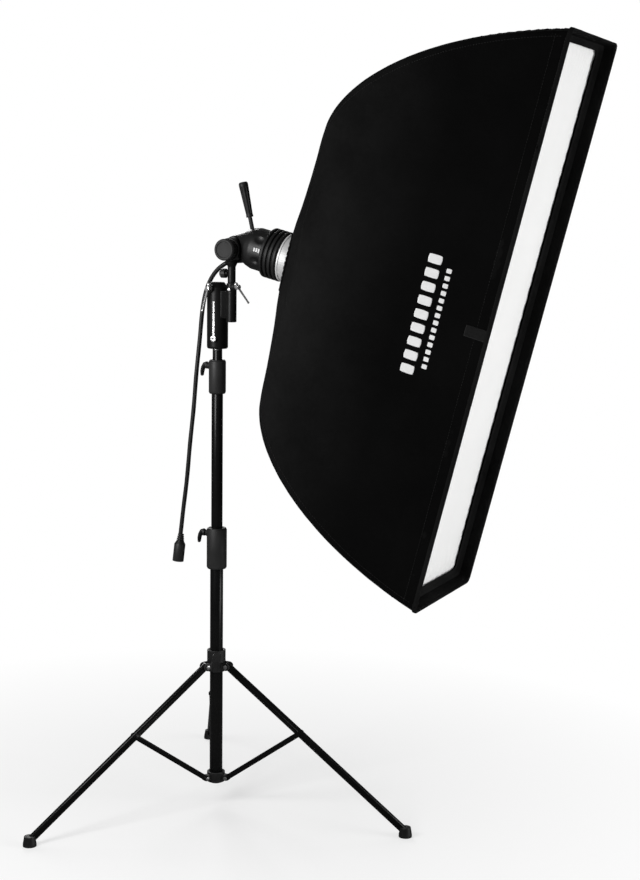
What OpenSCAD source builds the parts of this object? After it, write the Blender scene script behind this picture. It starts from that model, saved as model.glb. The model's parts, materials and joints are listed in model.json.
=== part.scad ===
// Studio strip softbox on a flash head, carried by a three-section light stand.
// Millimetres, +Z up. The origin is on the floor, on the axis of the stand's tubes.
// The light points along +X and is tilted a little towards the floor at rest.

/* [Softbox] */
// Length of the front rim
rim_l = 1220; // [1100:10:1240]
// Width of the front rim
rim_w = 340; // [300:5:360]
// Distance from the tilt axis to the front rim, along the light's axis
rim_u = 673; // [655:1:690]
// How far the front diffuser sits behind the rim
recess = 37; // [30:1:44]
// Radius of the flexible rods
rod_r = 2.5; // [2:0.25:3]

/* [Head] */
// Downward tilt of the light at rest, in degrees
tilt = 14.2; // [10:0.1:18]
// Radius of the lamp barrel
barrel_r = 47; // [46:0.5:48]
// Height of the tilt axis above the floor
pivot_z = 1298.5; // [1294:0.5:1303]

/* [Stand] */
// Outside radius of the base tube
base_r = 15; // [15:0.5:16]
// Outside radius of the lower riser
riser_1_r = 13; // [12.5:0.5:13]
// Outside radius of the upper riser
riser_2_r = 11; // [10.5:0.5:11]
// Distance from the stand's axis to the middle of a foot
foot_reach = 480; // [440:5:500]
// Angle between a leg and the stand's tubes at rest, in degrees
leg_angle = 54.3; // [52:0.1:56]

/* [Hidden] */
$fn = 48;

// Clearances.
slip = 0.05;   // a tube in the clamp or bush that holds it
run = 0.1;     // a pin that turns in its hole
gap = 0.6;     // two faces that pass each other

// Stand heights, from the floor up.
wall = 1.5;
base_bottom_z = 52;
base_top_z = 638;
base_collar_z = [565, 660];
riser_1_z = [380, 1028];
riser_1_collar_z = [971, 1048];
riser_2_z = [640, 1070];
knob_drop = 14;      // a clamp screw sits this far below its collar's top
bush_h = 8;
base_collar_r = base_r + 8.2;
riser_collar_r = riser_1_r + 6.5;
boss_l = 3;          // from a collar's side to the face of its screw boss
hub_gap = 3.6;       // from a collar's side to the hub of its clamp screw

// Legs. Each brace meets its leg as far from the upper hinge as the brace is long.
hinge_r = 30;
upper_hinge_z = 335;
brace_l = 230;
lower_hinge_z = upper_hinge_z - 2 * brace_l * cos(leg_angle);
leg_l = (foot_reach - hinge_r) / sin(leg_angle);
leg_half_w = 7;
leg_pin_r = 3;
brace_pin_r = 2.5;
spider_z = [322, 372];
spider_knob_z = spider_z[1] - 10;
spider_knob_azimuth = -60;

// Adapter on the stand's spigot, and the post beside it.
pivot_x = 50;
post_y = -28;
adapter_z = [1074, 1224];
adapter_r = 24;
spigot_r = 8;
side_tube_z = [1137, 1224];
side_tube_r = 11.4;
umbrella_r = 4.1;
lever_z = 1210;
lever_azimuth = 258;
t_handle_z = 1216;
t_handle_azimuth = -20;
adapter_bolt_azimuth = -83;
post_r = 9;

// Tilt joint. Boss faces are distances along Y.
boss_r = 26;
head_boss_r = boss_r + 5;
yoke_boss_y = [-43, -13];
head_boss_y = [-12.4, 20];
bolt_r = 5;
knob_r = 24;
knob_y = [-68, -45];

// Head. The light's axis passes above the tilt axis.
axis_lift = 14.7;
nose_u = 140;
cavity_r = barrel_r - 6;
cavity_u = 58;
grip_u = [79.5, 122.3];
insert_u = [123.5, 167];
insert_r = 53;
lock_u = 134;
ring_u = [157, 169];
ring_r = 64;

// Softbox profile: distance along the light's axis, and half the length of the section there.
rim_v = rim_l / 2;
neck_u = 153.5;
neck_v = 60;
neck_w = 70;
neck_curve = [[neck_u, neck_v], [173.3, 130], [191.3, 290]];
rod_curve = [neck_curve[2], [202.3, 420], [rim_u - 250, rim_v - 52], [rim_u, rim_v]];
neck_steps = 5;
curve_steps = 14;
width_slope = (rim_w / 2 - neck_w) / (rim_v - neck_v);
front_u = rim_u - recess;

// ---------- Curves and lofts ----------

function bez2(p, t) = (1 - t) * (1 - t) * p[0] + 2 * t * (1 - t) * p[1] + t * t * p[2];
function bez3(p, t) = pow(1 - t, 3) * p[0] + 3 * t * pow(1 - t, 2) * p[1]
  + 3 * t * t * (1 - t) * p[2] + pow(t, 3) * p[3];
function half_width(v) = neck_w + (v - neck_v) * width_slope;

edge = concat(
  [for (i = [0:neck_steps - 1]) bez2(neck_curve, i / neck_steps)],
  [for (i = [0:curve_steps]) bez3(rod_curve, i / curve_steps)]
);
edge_last = len(edge) - 1;

// Direction of the profile at section i, in degrees from the light's axis.
function slope_at(i) =
  let (a = edge[max(i - 1, 0)], b = edge[min(i + 1, edge_last)]) atan2(b[1] - a[1], b[0] - a[0]);

// Section i moved d inwards, square to the cloth: [u, half length, half width].
function inset(i, d) =
  let (
    a = slope_at(i),
    b = atan2(width_slope * sin(a), cos(a)),
    shift = d * sin(a)
  )
  [edge[i][0] + shift, edge[i][1] - d * cos(a),
   half_width(edge[i][1]) - (d - shift * sin(b)) / cos(b)];

// The section at distance u along the light's axis, moved d inwards.
function section_at(u, d) =
  let (
    i = max(concat([0], [for (k = [0:edge_last - 1]) if (inset(k, d)[0] <= u) k])),
    a = inset(i, d),
    b = inset(i + 1, d),
    t = (u - a[0]) / (b[0] - a[0])
  )
  [u, a[1] + t * (b[1] - a[1]), a[2] + t * (b[2] - a[2])];

function sections(d, from_u, to_u) = concat(
  [section_at(from_u, d)],
  [for (i = [0:edge_last]) let (s = inset(i, d)) if (s[0] > from_u + 2 && s[0] < to_u - 2) s],
  [section_at(to_u, d)]
);

function corners(s) = [for (q = [[1, 1], [-1, 1], [-1, -1], [1, -1]]) [s[0], q[0] * s[2], q[1] * s[1]]];

// A surface through rectangular sections in order. It closes on itself, or is capped at both ends.
module loft(rings, closes) {
  count = len(rings);
  polyhedron(
    points = [for (s = rings) each corners(s)],
    faces = concat(
      [for (i = [0:count - (closes ? 1 : 2)]) for (k = [0:3]) let (j = (i + 1) % count)
        [4 * i + k, 4 * i + (k + 1) % 4, 4 * j + (k + 1) % 4, 4 * j + k]],
      closes ? [] : [[3, 2, 1, 0], [for (k = [0:3]) 4 * (count - 1) + k]]
    ),
    convexity = 6
  );
}

// A tube of cloth, open at both ends, between two insets of the profile.
module cloth_tube(d_out, d_in, from_u, to_u) {
  inner = sections(d_in, from_u, to_u);
  loft(concat(sections(d_out, from_u, to_u), [for (i = [len(inner) - 1:-1:0]) inner[i]]), true);
}

// A flat cloth panel across the softbox, cut d inside the profile.
module cloth_panel(u, d, thickness) {
  s = section_at(u, d);
  translate([u - thickness / 2, -s[2], -s[1]]) cube([thickness, 2 * s[2], 2 * s[1]]);
}

function unit(v) = v / norm(v);

// A round bar swept along a list of points that never runs parallel to side.
module sweep(path, r, side, sides = 10) {
  last = len(path) - 1;
  rings = [for (i = [0:last])
    let (
      t = unit(path[min(i + 1, last)] - path[max(i - 1, 0)]),
      n = unit(cross(t, side)),
      b = cross(t, n)
    )
    [for (k = [0:sides - 1]) path[i] + r * (cos(360 * k / sides) * n + sin(360 * k / sides) * b)]];
  polyhedron(
    points = [for (ring = rings) each ring],
    faces = concat(
      [[for (k = [0:sides - 1]) k]],
      [for (i = [0:last - 1]) for (k = [0:sides - 1])
        [i * sides + (k + 1) % sides, i * sides + k, (i + 1) * sides + k,
         (i + 1) * sides + (k + 1) % sides]],
      [[for (k = [sides - 1:-1:0]) last * sides + k]]
    ),
    convexity = 8
  );
}

// ---------- Frames and small shapes ----------

// The light's own frame: +X along the light, +Z towards the top of the softbox.
module light_frame() {
  translate([pivot_x, 0, pivot_z]) rotate([0, tilt, 0]) translate([0, 0, axis_lift]) children();
}

module along_x(u) { translate([u, 0, 0]) rotate([0, 90, 0]) children(); }

module tube(r_out, r_in, h) {
  difference() {
    cylinder(r = r_out, h = h);
    translate([0, 0, -1]) cylinder(r = r_in, h = h + 2);
  }
}

module tube_z(r_out, r_in, span) {
  translate([0, 0, span[0]]) tube(r_out, r_in, span[1] - span[0]);
}

// A bar of stadium section along +X, w wide in Y and d deep in Z.
module stadium_bar(from_x, to_x, w, d) {
  translate([from_x, 0, 0]) rotate([90, 0, 90]) linear_extrude(to_x - from_x) {
    square([w, d - w], center = true);
    for (s = [-1, 1]) translate([0, s * (d - w) / 2]) circle(r = w / 2);
  }
}

// ---------- Stand ----------

module base_tube() { color("#141414") tube_z(base_r, base_r - wall, [base_bottom_z, base_top_z]); }

// A clamp collar with a screw boss towards -X and a bead round its top and foot.
module clamp_collar(r, bore_r, span, screw_z) {
  boss_x = r + boss_l;
  bead = 4;
  color("#1c1c1c") difference() {
    union() {
      translate([0, 0, span[0]]) cylinder(r1 = r - 2, r2 = r, h = bead);
      translate([0, 0, span[0] + bead]) cylinder(r = r, h = span[1] - span[0] - 2 * bead);
      translate([0, 0, span[1] - bead]) cylinder(r1 = r, r2 = r - 2, h = bead);
      translate([-boss_x, 0, screw_z]) rotate([0, 90, 0]) cylinder(r = 8, h = boss_x);
    }
    translate([0, 0, span[0] - 1]) cylinder(r = bore_r + slip, h = span[1] - span[0] + 2);
    translate([-boss_x - 1, 0, screw_z]) rotate([0, 90, 0]) cylinder(r = 3 + run, h = boss_x + 1);
  }
}

// A nylon bush in the top of a collar, guiding the tube that slides in it.
module guide_bush(bore_r, inner_r, top_z) {
  color("#30302e") tube_z(bore_r, inner_r + slip, [top_z - bush_h - 1, top_z - 1]);
}

// A clamp screw with a hooked wing that hangs outside its collar.
module wing_knob(tip_x, hub_x, screw_z) {
  // Along X, along Z and radius of each bead of the wing, outwards and down from the hub.
  wing = [[-4.6, 5, 4.3], [-9, 3, 4.8], [-13, -4, 4.8], [-15.5, -13, 4.4], [-16, -21, 3.6]];
  color("#0e0e0e") translate([-hub_x, 0, screw_z]) {
    rotate([0, 90, 0]) cylinder(r = 3, h = hub_x - tip_x);
    translate([-6, 0, 0]) rotate([0, 90, 0]) cylinder(r = 7.6, h = 6);
    for (k = [0:len(wing) - 2]) hull() for (bead = [wing[k], wing[k + 1]])
      translate([bead[0], 0, bead[1]]) scale([1, 1.5, 1]) sphere(r = bead[2], $fn = 16);
  }
}

module base_collar() { clamp_collar(base_collar_r, base_r, base_collar_z, base_collar_z[1] - knob_drop); }
module base_bush() { guide_bush(base_r, riser_1_r, base_collar_z[1]); }
module base_wing_knob() {
  wing_knob(riser_1_r + 0.2, base_collar_r + hub_gap + 3, base_collar_z[1] - knob_drop);
}
module riser_1_tube() { color("#141414") tube_z(riser_1_r, riser_1_r - wall, riser_1_z); }
module riser_1_collar() {
  clamp_collar(riser_collar_r, riser_1_r, riser_1_collar_z, riser_1_collar_z[1] - knob_drop);
}
module riser_1_bush() { guide_bush(riser_1_r, riser_2_r, riser_1_collar_z[1]); }
module riser_wing_knob() {
  wing_knob(riser_2_r + 0.2, riser_collar_r + hub_gap, riser_1_collar_z[1] - knob_drop);
}
module riser_2_tube() { color("#141414") tube_z(riser_2_r, riser_2_r - wall, riser_2_z); }

module top_spigot() {
  plug_r = riser_2_r - wall - 0.05;
  flange_z = riser_2_z[1];
  color("#9c9c9c") {
    translate([0, 0, flange_z - 30]) cylinder(r = plug_r, h = 30);
    translate([0, 0, flange_z]) cylinder(r = riser_2_r, h = 3.5);
    translate([0, 0, flange_z + 3.5]) cylinder(r = spigot_r, h = 40);
    translate([0, 0, flange_z + 43.5]) cylinder(r = spigot_r - 1.5, h = 16);
    translate([0, 0, flange_z + 59.5]) cylinder(r = spigot_r, h = 18);
  }
}

// ---------- Tripod legs ----------

module at_leg(i) { rotate([0, 0, 120 * (i - 1)]) children(); }

// +X runs down the leg from its hinge.
module leg_frame() {
  translate([hinge_r, 0, upper_hinge_z]) rotate([0, 90 - leg_angle, 0]) children();
}

// +X runs up the brace from its hinge.
module brace_frame() {
  translate([hinge_r, 0, lower_hinge_z]) rotate([0, leg_angle - 90, 0]) children();
}

module cross_pin(r, half_l) { rotate([90, 0, 0]) cylinder(r = r, h = 2 * half_l, center = true); }

module at_spider_knob() { rotate([0, 0, spider_knob_azimuth]) translate([0, 0, spider_knob_z]) children(); }

module upper_spider() {
  ear_in = leg_half_w + gap;
  ear_w = 4;
  color("#1c1c1c") difference() {
    union() {
      tube_z(base_r + 6.5, base_r + slip + run, spider_z);
      for (i = [1:3]) at_leg(i) for (s = [-1, 1])
        translate([0, s * (ear_in + ear_w / 2) - ear_w / 2, 0]) {
          translate([base_r + 2, 0, upper_hinge_z - 9]) cube([hinge_r - base_r - 2, ear_w, 18]);
          translate([hinge_r, 0, upper_hinge_z]) rotate([-90, 0, 0]) cylinder(r = 9, h = ear_w);
        }
      at_spider_knob() along_x(base_r + 3) cylinder(r = 8, h = 9);
    }
    translate([0, 0, spider_z[0] - 1])
      cylinder(r = base_r + slip + run, h = spider_z[1] - spider_z[0] + 2);
    for (i = [1:3]) at_leg(i) translate([hinge_r, 0, upper_hinge_z]) cross_pin(leg_pin_r + slip, 20);
    at_spider_knob() along_x(10) cylinder(r = 3 + run, h = 30);
  }
}

module upper_spider_pins() {
  color("#b0b0b0") for (i = [1:3]) at_leg(i) translate([hinge_r, 0, upper_hinge_z]) {
    cross_pin(leg_pin_r, leg_half_w + gap + 4.4);
    for (s = [-1, 1]) translate([0, s * (leg_half_w + gap + 5.4), 0]) cross_pin(5, 1);
  }
}

module spider_knob() {
  color("#0e0e0e") at_spider_knob() {
    along_x(base_r + 0.3) cylinder(r = 3, h = 15);
    difference() {
      along_x(base_r + 13) cylinder(r = 11, h = 13);
      for (k = [0:7]) rotate([45 * k, 0, 0]) translate([0, 0, 13]) along_x(base_r + 12)
        cylinder(r = 3.4, h = 16);
    }
  }
}

module leg(i) {
  color("#161616") at_leg(i) leg_frame() difference() {
    union() {
      stadium_bar(0, leg_l - 6, 2 * leg_half_w, 18);
      cross_pin(8.2, leg_half_w);
      translate([brace_l, 0, 0]) cross_pin(5, leg_half_w + gap / 2);
    }
    cross_pin(leg_pin_r + run, 20);
  }
}

// A rubber shoe that stands upright under the end of a leg.
module foot(i) {
  color("#0c0c0c") at_leg(i) difference() {
    union() {
      translate([foot_reach, 0, 0]) cylinder(r = 15, h = 5);
      translate([foot_reach, 0, 5]) cylinder(r1 = 15, r2 = 12, h = 17);
    }
    leg_frame() stadium_bar(0, leg_l - 6 + slip, 2 * leg_half_w + 2 * slip, 18 + 2 * slip);
  }
}

module leg_1() { leg(1); }
module leg_2() { leg(2); }
module leg_3() { leg(3); }
module foot_1() { foot(1); }
module foot_2() { foot(2); }
module foot_3() { foot(3); }

module lower_spider() {
  ear_half_w = 6;
  span = [lower_hinge_z - 12, lower_hinge_z + 12];
  color("#1c1c1c") difference() {
    union() {
      translate([0, 0, span[0]]) cylinder(r = base_r + 6, h = span[1] - span[0]);
      for (i = [1:3]) at_leg(i) {
        translate([base_r + 2, -ear_half_w, lower_hinge_z - 7])
          cube([hinge_r - base_r - 2, 2 * ear_half_w, 14]);
        translate([hinge_r, 0, lower_hinge_z]) cross_pin(7, ear_half_w);
      }
    }
    translate([0, 0, base_bottom_z]) cylinder(r = base_r + slip, h = 60);
    for (i = [1:3]) at_leg(i) translate([hinge_r, 0, lower_hinge_z]) cross_pin(brace_pin_r + slip, 20);
  }
}

module lower_spider_pins() {
  color("#b0b0b0") for (i = [1:3]) at_leg(i) translate([hinge_r, 0, lower_hinge_z]) {
    cross_pin(brace_pin_r, leg_half_w + 3);
    for (s = [-1, 1]) translate([0, s * (leg_half_w + 4), 0]) cross_pin(4.5, 0.8);
  }
}

// Two flat strips, one each side of the leg, with a rivet head at the outer end of each.
module brace(i) {
  strip_y = leg_half_w + gap;
  color("#202020") at_leg(i) brace_frame() for (s = [-1, 1]) difference() {
    union() {
      translate([0, s * (strip_y + 1) - 1, -6]) cube([brace_l, 2, 12]);
      for (x = [0, brace_l]) translate([x, s * (strip_y + 1), 0]) cross_pin(6, 1);
      translate([brace_l, s * (strip_y + 2.8), 0]) cross_pin(4, 0.9);
    }
    cross_pin(brace_pin_r + run, 20);
  }
}

module brace_1() { brace(1); }
module brace_2() { brace(2); }
module brace_3() { brace(3); }

// ---------- Adapter and tilt bracket ----------

module at_side_tube(azimuth, z) { translate([pivot_x, post_y, z]) rotate([0, 0, azimuth]) children(); }

module at_adapter_bolt() {
  translate([0, 0, adapter_z[0] + 23]) rotate([0, 0, adapter_bolt_azimuth]) children();
}

module adapter_casting() {
  height = adapter_z[1] - adapter_z[0];
  web_l = norm([pivot_x, post_y]);
  web_azimuth = atan2(post_y, pivot_x);
  color("#1a1a1a") difference() {
    union() {
      translate([0, 0, adapter_z[0]]) cylinder(r1 = adapter_r - 2, r2 = adapter_r, h = 3);
      translate([0, 0, adapter_z[0] + 3]) cylinder(r = adapter_r, h = height - 15);
      translate([0, 0, adapter_z[1] - 12]) cylinder(r1 = adapter_r, r2 = adapter_r - 9, h = 12);
      translate([pivot_x, post_y, side_tube_z[0]])
        cylinder(r = side_tube_r, h = side_tube_z[1] - side_tube_z[0]);
      rotate([0, 0, web_azimuth]) translate([adapter_r / 2, -6, side_tube_z[0] + 8])
        cube([web_l - adapter_r / 2, 12, 60]);
      translate([0, 0, lever_z]) rotate([0, 0, lever_azimuth]) along_x(adapter_r - 8)
        cylinder(r = 8, h = 13);
      at_side_tube(t_handle_azimuth, t_handle_z) along_x(side_tube_r - 4) cylinder(r = 7, h = 8);
    }
    translate([0, 0, adapter_z[0] - 1]) cylinder(r = spigot_r + run, h = 80);
    translate([pivot_x, post_y, side_tube_z[0] + 3]) cylinder(r = spigot_r + run, h = 90);
    translate([0, 0, lever_z]) along_x(-2 * adapter_r) cylinder(r = umbrella_r, h = 4 * adapter_r);
    translate([0, 0, lever_z]) rotate([0, 0, lever_azimuth]) along_x(0)
      cylinder(r = 3 + run, h = 40);
    at_side_tube(t_handle_azimuth, t_handle_z) along_x(spigot_r - 3) cylinder(r = 3 + run, h = 20);
    at_side_tube(-90, lever_z) along_x(side_tube_r - 3) cylinder(r = 3 + slip, h = 10);
    at_adapter_bolt() along_x(adapter_r - 12) cylinder(r = 4 + slip, h = 20);
  }
}

// The socket's retaining bolt with its bright strip, and a grub screw on the side tube.
module adapter_bolts() {
  color("#8d8d8d") {
    at_adapter_bolt() {
      difference() {
        union() {
          along_x(adapter_r - 11) cylinder(r = 4, h = 12);
          along_x(adapter_r + 0.2) cylinder(r = 7, h = 4);
        }
        along_x(adapter_r + 2) cylinder(r = 3, h = 4, $fn = 6);
      }
      translate([adapter_r + 0.2, -1.6, 4]) cube([1.4, 3.2, 80]);
    }
    at_side_tube(-90, lever_z) {
      along_x(side_tube_r - 2.8) cylinder(r = 3, h = 4);
      along_x(side_tube_r + 0.2) cylinder(r1 = 4.6, r2 = 3.2, h = 3);
    }
  }
}

// A clamp screw with a bright cross bar, seen along +X from its thread.
module bar_handle(tip, hub, bar_l, lean) {
  along_x(tip) cylinder(r = 3, h = hub - tip);
  along_x(hub) cylinder(r = 5.5, h = 9);
  translate([hub + 5, 0, 0]) rotate([lean, 0, 0]) {
    translate([0, 0, -bar_l * 0.85]) cylinder(r1 = 2, r2 = 2.6, h = bar_l);
    translate([0, 0, bar_l * 0.15]) sphere(r = 4.6);
    translate([0, 0, -bar_l * 0.85]) sphere(r = 2.6);
  }
}

module umbrella_lever() {
  color("#dedede") translate([0, 0, lever_z]) rotate([0, 0, lever_azimuth])
    bar_handle(umbrella_r + 1, adapter_r + 5.3, 62, -18);
}

module post_t_handle() {
  color("#c4c4c4") at_side_tube(t_handle_azimuth, t_handle_z)
    bar_handle(spigot_r + 0.4, side_tube_r + 4.4, 56, 42);
}

module at_post_knob() { translate([pivot_x, post_y, pivot_z - 53]) children(); }

module yoke_post() {
  shoulder_z = side_tube_z[1] + 0.5;
  neck_z = pivot_z - 38;
  color("#161616") difference() {
    union() {
      translate([pivot_x, post_y, side_tube_z[0] + 4]) cylinder(r = spigot_r, h = 100);
      translate([pivot_x, post_y, shoulder_z]) cylinder(r = post_r, h = pivot_z - shoulder_z);
      translate([pivot_x, post_y, neck_z]) cylinder(r1 = post_r, r2 = 13, h = 8);
      translate([pivot_x, post_y, neck_z + 8]) cylinder(r = 13, h = 20);
      translate([pivot_x, yoke_boss_y[0], pivot_z]) rotate([-90, 0, 0])
        cylinder(r = boss_r, h = yoke_boss_y[1] - yoke_boss_y[0]);
    }
    translate([pivot_x, 0, pivot_z]) cross_pin(bolt_r + run, 60);
    at_post_knob() rotate([0, 0, 180]) along_x(0) cylinder(r = 3 + run, h = 20);
  }
}

// A small round knob on the back of the post.
module post_knob() {
  color("#0e0e0e") at_post_knob() rotate([0, 0, 180]) {
    along_x(0.5) cylinder(r = 3, h = 10);
    along_x(post_r + 0.8) cylinder(r = 6, h = 4);
    along_x(post_r + 4.8) cylinder(r = 10.5, h = 11);
    along_x(post_r + 15.8) cylinder(r1 = 10.5, r2 = 7, h = 3);
  }
}

module tilt_bolt() {
  head_y = head_boss_y[1] + gap;
  color("#8d8d8d") translate([pivot_x, 0, pivot_z]) {
    translate([0, -58, 0]) rotate([-90, 0, 0]) cylinder(r = bolt_r, h = head_y + 59);
    translate([0, head_y, 0]) rotate([-90, 0, 0]) cylinder(r = 9, h = 7, $fn = 6);
  }
}

// A round hand wheel with a ribbed rim and a dished face.
module tilt_knob() {
  depth = knob_y[1] - knob_y[0];
  ribs = 24;
  color("#2a2a2a") translate([pivot_x, knob_y[0], pivot_z]) rotate([-90, 0, 0]) difference() {
    union() {
      cylinder(r1 = knob_r - 2.5, r2 = knob_r, h = 3);
      translate([0, 0, 3]) cylinder(r = knob_r, h = depth - 7);
      translate([0, 0, depth - 4]) cylinder(r = 15, h = 4);
    }
    translate([0, 0, 9]) cylinder(r = bolt_r + slip, h = depth);
    translate([0, 0, -1]) cylinder(r1 = knob_r - 5, r2 = knob_r - 7, h = 3);
    for (k = [0:ribs - 1]) rotate([0, 0, 360 * k / ribs]) translate([knob_r + 1, 0, 4])
      cylinder(r = 2, h = depth);
  }
}

// ---------- Mains lead ----------

lead_r = 5;
gland_angle = 22;
gland_foot = [pivot_x - 4, 8, pivot_z - 20];
gland_l = 24;
lead_dir = [-cos(gland_angle), 0, -sin(gland_angle)];
lead_top = gland_foot + (gland_l + 4) * lead_dir;
lead_curve = [lead_top, lead_top + 30 * lead_dir, [-36, 14, 1228], [-45, 13, 1170]];
lead_fall = [lead_curve[3], [-52, 11, 1110], [-62, 0, 900], [-87, -13, 640]];
lead_steps = 14;

module power_cable() {
  path = concat(
    [for (i = [0:lead_steps - 1]) bez3(lead_curve, i / lead_steps)],
    [for (i = [0:lead_steps]) bez3(lead_fall, i / lead_steps)]
  );
  color("#101010") sweep(path, lead_r, [0, 1, 0]);
}

// Turns +Z to the direction d.
module along(d) { rotate([0, acos(d[2]), atan2(d[1], d[0])]) children(); }

// An in-line connector with a ribbed strain relief, hanging on the end of the lead.
module cable_plug() {
  body_r = 13;
  color("#181818") translate(lead_fall[3]) along(unit(lead_fall[3] - lead_fall[2])) difference() {
    translate([0, 0, 0.4]) {
      for (k = [0:3]) translate([0, 0, 5 * k]) cylinder(r = 7 + k * 0.7, h = 3);
      cylinder(r = 5.5, h = 18);
      translate([0, 0, 18]) cylinder(r1 = 9.5, r2 = body_r, h = 6);
      translate([0, 0, 24]) cylinder(r = body_r, h = 40);
    }
    translate([0, 0, 53]) cylinder(r = body_r - 2.5, h = 12);
  }
}

// ---------- Flash head ----------

module housing_profile() {
  polygon([
    [0, -21], [9, -21], [15, -13.5], [24, 0], [37, 20], [43, 33], [barrel_r, 47],
    [barrel_r, nose_u], [cavity_r, nose_u], [cavity_r, cavity_u], [0, cavity_u]
  ]);
}

// +Z runs out along the strain relief where the lead leaves the head.
module gland_frame() { translate(gland_foot) rotate([0, -90 - gland_angle, 0]) children(); }

// The hollows sit in rings of four, above and below the printed scale on each side.
module head_housing() {
  hollow_u = 67;
  hollow_r = 13;
  color("#191919") difference() {
    union() {
      light_frame() along_x(0) rotate_extrude() housing_profile();
      translate([pivot_x, head_boss_y[0], pivot_z]) rotate([-90, 0, 0])
        cylinder(r = head_boss_r, h = head_boss_y[1] - head_boss_y[0]);
    }
    translate([pivot_x, -80, pivot_z]) rotate([-90, 0, 0])
      cylinder(r = boss_r + 3, h = 80 + head_boss_y[0]);
    translate([pivot_x, head_boss_y[1], pivot_z]) rotate([-90, 0, 0]) cylinder(r = 12, h = 60);
    translate([pivot_x, 0, pivot_z]) cross_pin(bolt_r + run, 60);
    gland_frame() cylinder(r = 7 + slip, h = 40);
    light_frame() {
      for (a = [-33, 28, 147, 208]) rotate([a, 0, 0]) translate([hollow_u, -barrel_r - 8.5, 0])
        scale([1.3, 1, 1]) sphere(r = hollow_r);
      handle_frame() translate([0, 0, -14]) cylinder(r = shaft_r + run, h = 40);
    }
  }
}

module grip_ring() {
  ribs = 4;
  pitch = (grip_u[1] - grip_u[0]) / ribs;
  color("#101010") light_frame() difference() {
    union() for (k = [0:ribs - 1]) translate([grip_u[0] + k * pitch, 0, 0]) {
      along_x(0) cylinder(r1 = 52, r2 = 56, h = 2.5);
      along_x(2.5) cylinder(r = 56, h = pitch - 5.5);
      along_x(pitch - 3) cylinder(r1 = 56, r2 = 52, h = 1.5);
      along_x(pitch - 1.5) cylinder(r = 52, h = 1.5);
    }
    along_x(grip_u[0] - 1) cylinder(r = barrel_r + slip, h = grip_u[1] - grip_u[0] + 2);
  }
}

module reflector_dish() {
  mouth_r = cavity_r - 0.4;
  color("#e8e8e8") light_frame() along_x(cavity_u + 2) rotate_extrude()
    polygon([
      [15, 0], [17, 0], [33, 14], [mouth_r, 50], [mouth_r - 1.2, 50], [32, 15], [16.4, 1.5], [15, 1.5]
    ]);
}

module flash_tube() {
  color("#f4f4ee") light_frame() {
    along_x(102) rotate_extrude() translate([25, 0]) circle(r = 4);
    for (a = [0, 180]) rotate([a, 0, 0]) translate([0, 0, 10.5]) along_x(cavity_u + 0.5)
      cylinder(r = 2, h = 12);
  }
}

module modelling_lamp() {
  color("#fdf6e0") light_frame() along_x(cavity_u + 0.3) {
    cylinder(r = 8, h = 22);
    translate([0, 0, 22]) cylinder(r1 = 8, r2 = 10, h = 6);
    translate([0, 0, 28]) cylinder(r = 10, h = 24);
    translate([0, 0, 52]) sphere(r = 10);
  }
}

// The part of a ball of radius r, its centre drop below the origin, that lies above the origin.
module cap(r, drop) {
  difference() {
    translate([0, 0, -drop]) sphere(r = r);
    translate([0, 0, -2 * r]) cylinder(r = 2 * r, h = 2 * r);
  }
}

// A clear dome: a short cylinder with a domed end, hollowed to an even wall.
module glass_cover() {
  wall_t = 2.8;
  skirt = 22;
  dome_h = 20;
  r = cavity_r - 0.2;
  ball_r = (r * r + dome_h * dome_h) / (2 * dome_h);
  color("#f2f6f6") light_frame() along_x(nose_u - 14) difference() {
    union() {
      cylinder(r = r, h = skirt);
      translate([0, 0, skirt]) cap(ball_r, ball_r - dome_h);
    }
    translate([0, 0, -1]) cylinder(r = r - wall_t, h = skirt + 1);
    translate([0, 0, skirt]) cap(ball_r - wall_t, ball_r - dome_h);
  }
}

// A ribbed strain relief pressed into the head.
module cable_gland() {
  color("#101010") gland_frame() {
    translate([0, 0, 3]) cylinder(r = 7, h = 8);
    for (k = [0:2]) translate([0, 0, 11 + 4.4 * k]) {
      cylinder(r = 6.8 - 0.4 * k, h = 2.8);
      translate([0, 0, 2.7]) cylinder(r = 5.4, h = 1.7);
    }
  }
}

// A thin printed scale wrapped on the near side of the barrel.
module scale_plate() {
  scale_u = [60, 77.5];
  half_w = 5;
  length = scale_u[1] - scale_u[0];
  color("#d8d8d8") light_frame() rotate([-3.5, 0, 0]) intersection() {
    along_x(scale_u[0]) difference() {
      cylinder(r = barrel_r + 0.7, h = length);
      translate([0, 0, -1]) cylinder(r = barrel_r + 0.1, h = length + 2);
    }
    translate([scale_u[0] - 1, -barrel_r - 2, -half_w]) cube([length + 2, barrel_r, 2 * half_w]);
  }
}

// +Z runs up the aiming handle from the top of the head.
shaft_r = 4.6;
module handle_frame() { translate([24.8, 0, 38]) rotate([0, -27.5, 0]) children(); }

module handle_shaft() {
  color("#101010") light_frame() handle_frame() {
    translate([0, 0, -8]) cylinder(r = shaft_r, h = 98);
    translate([0, 0, 90]) cylinder(r1 = shaft_r, r2 = shaft_r - 1, h = 2);
  }
}

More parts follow.
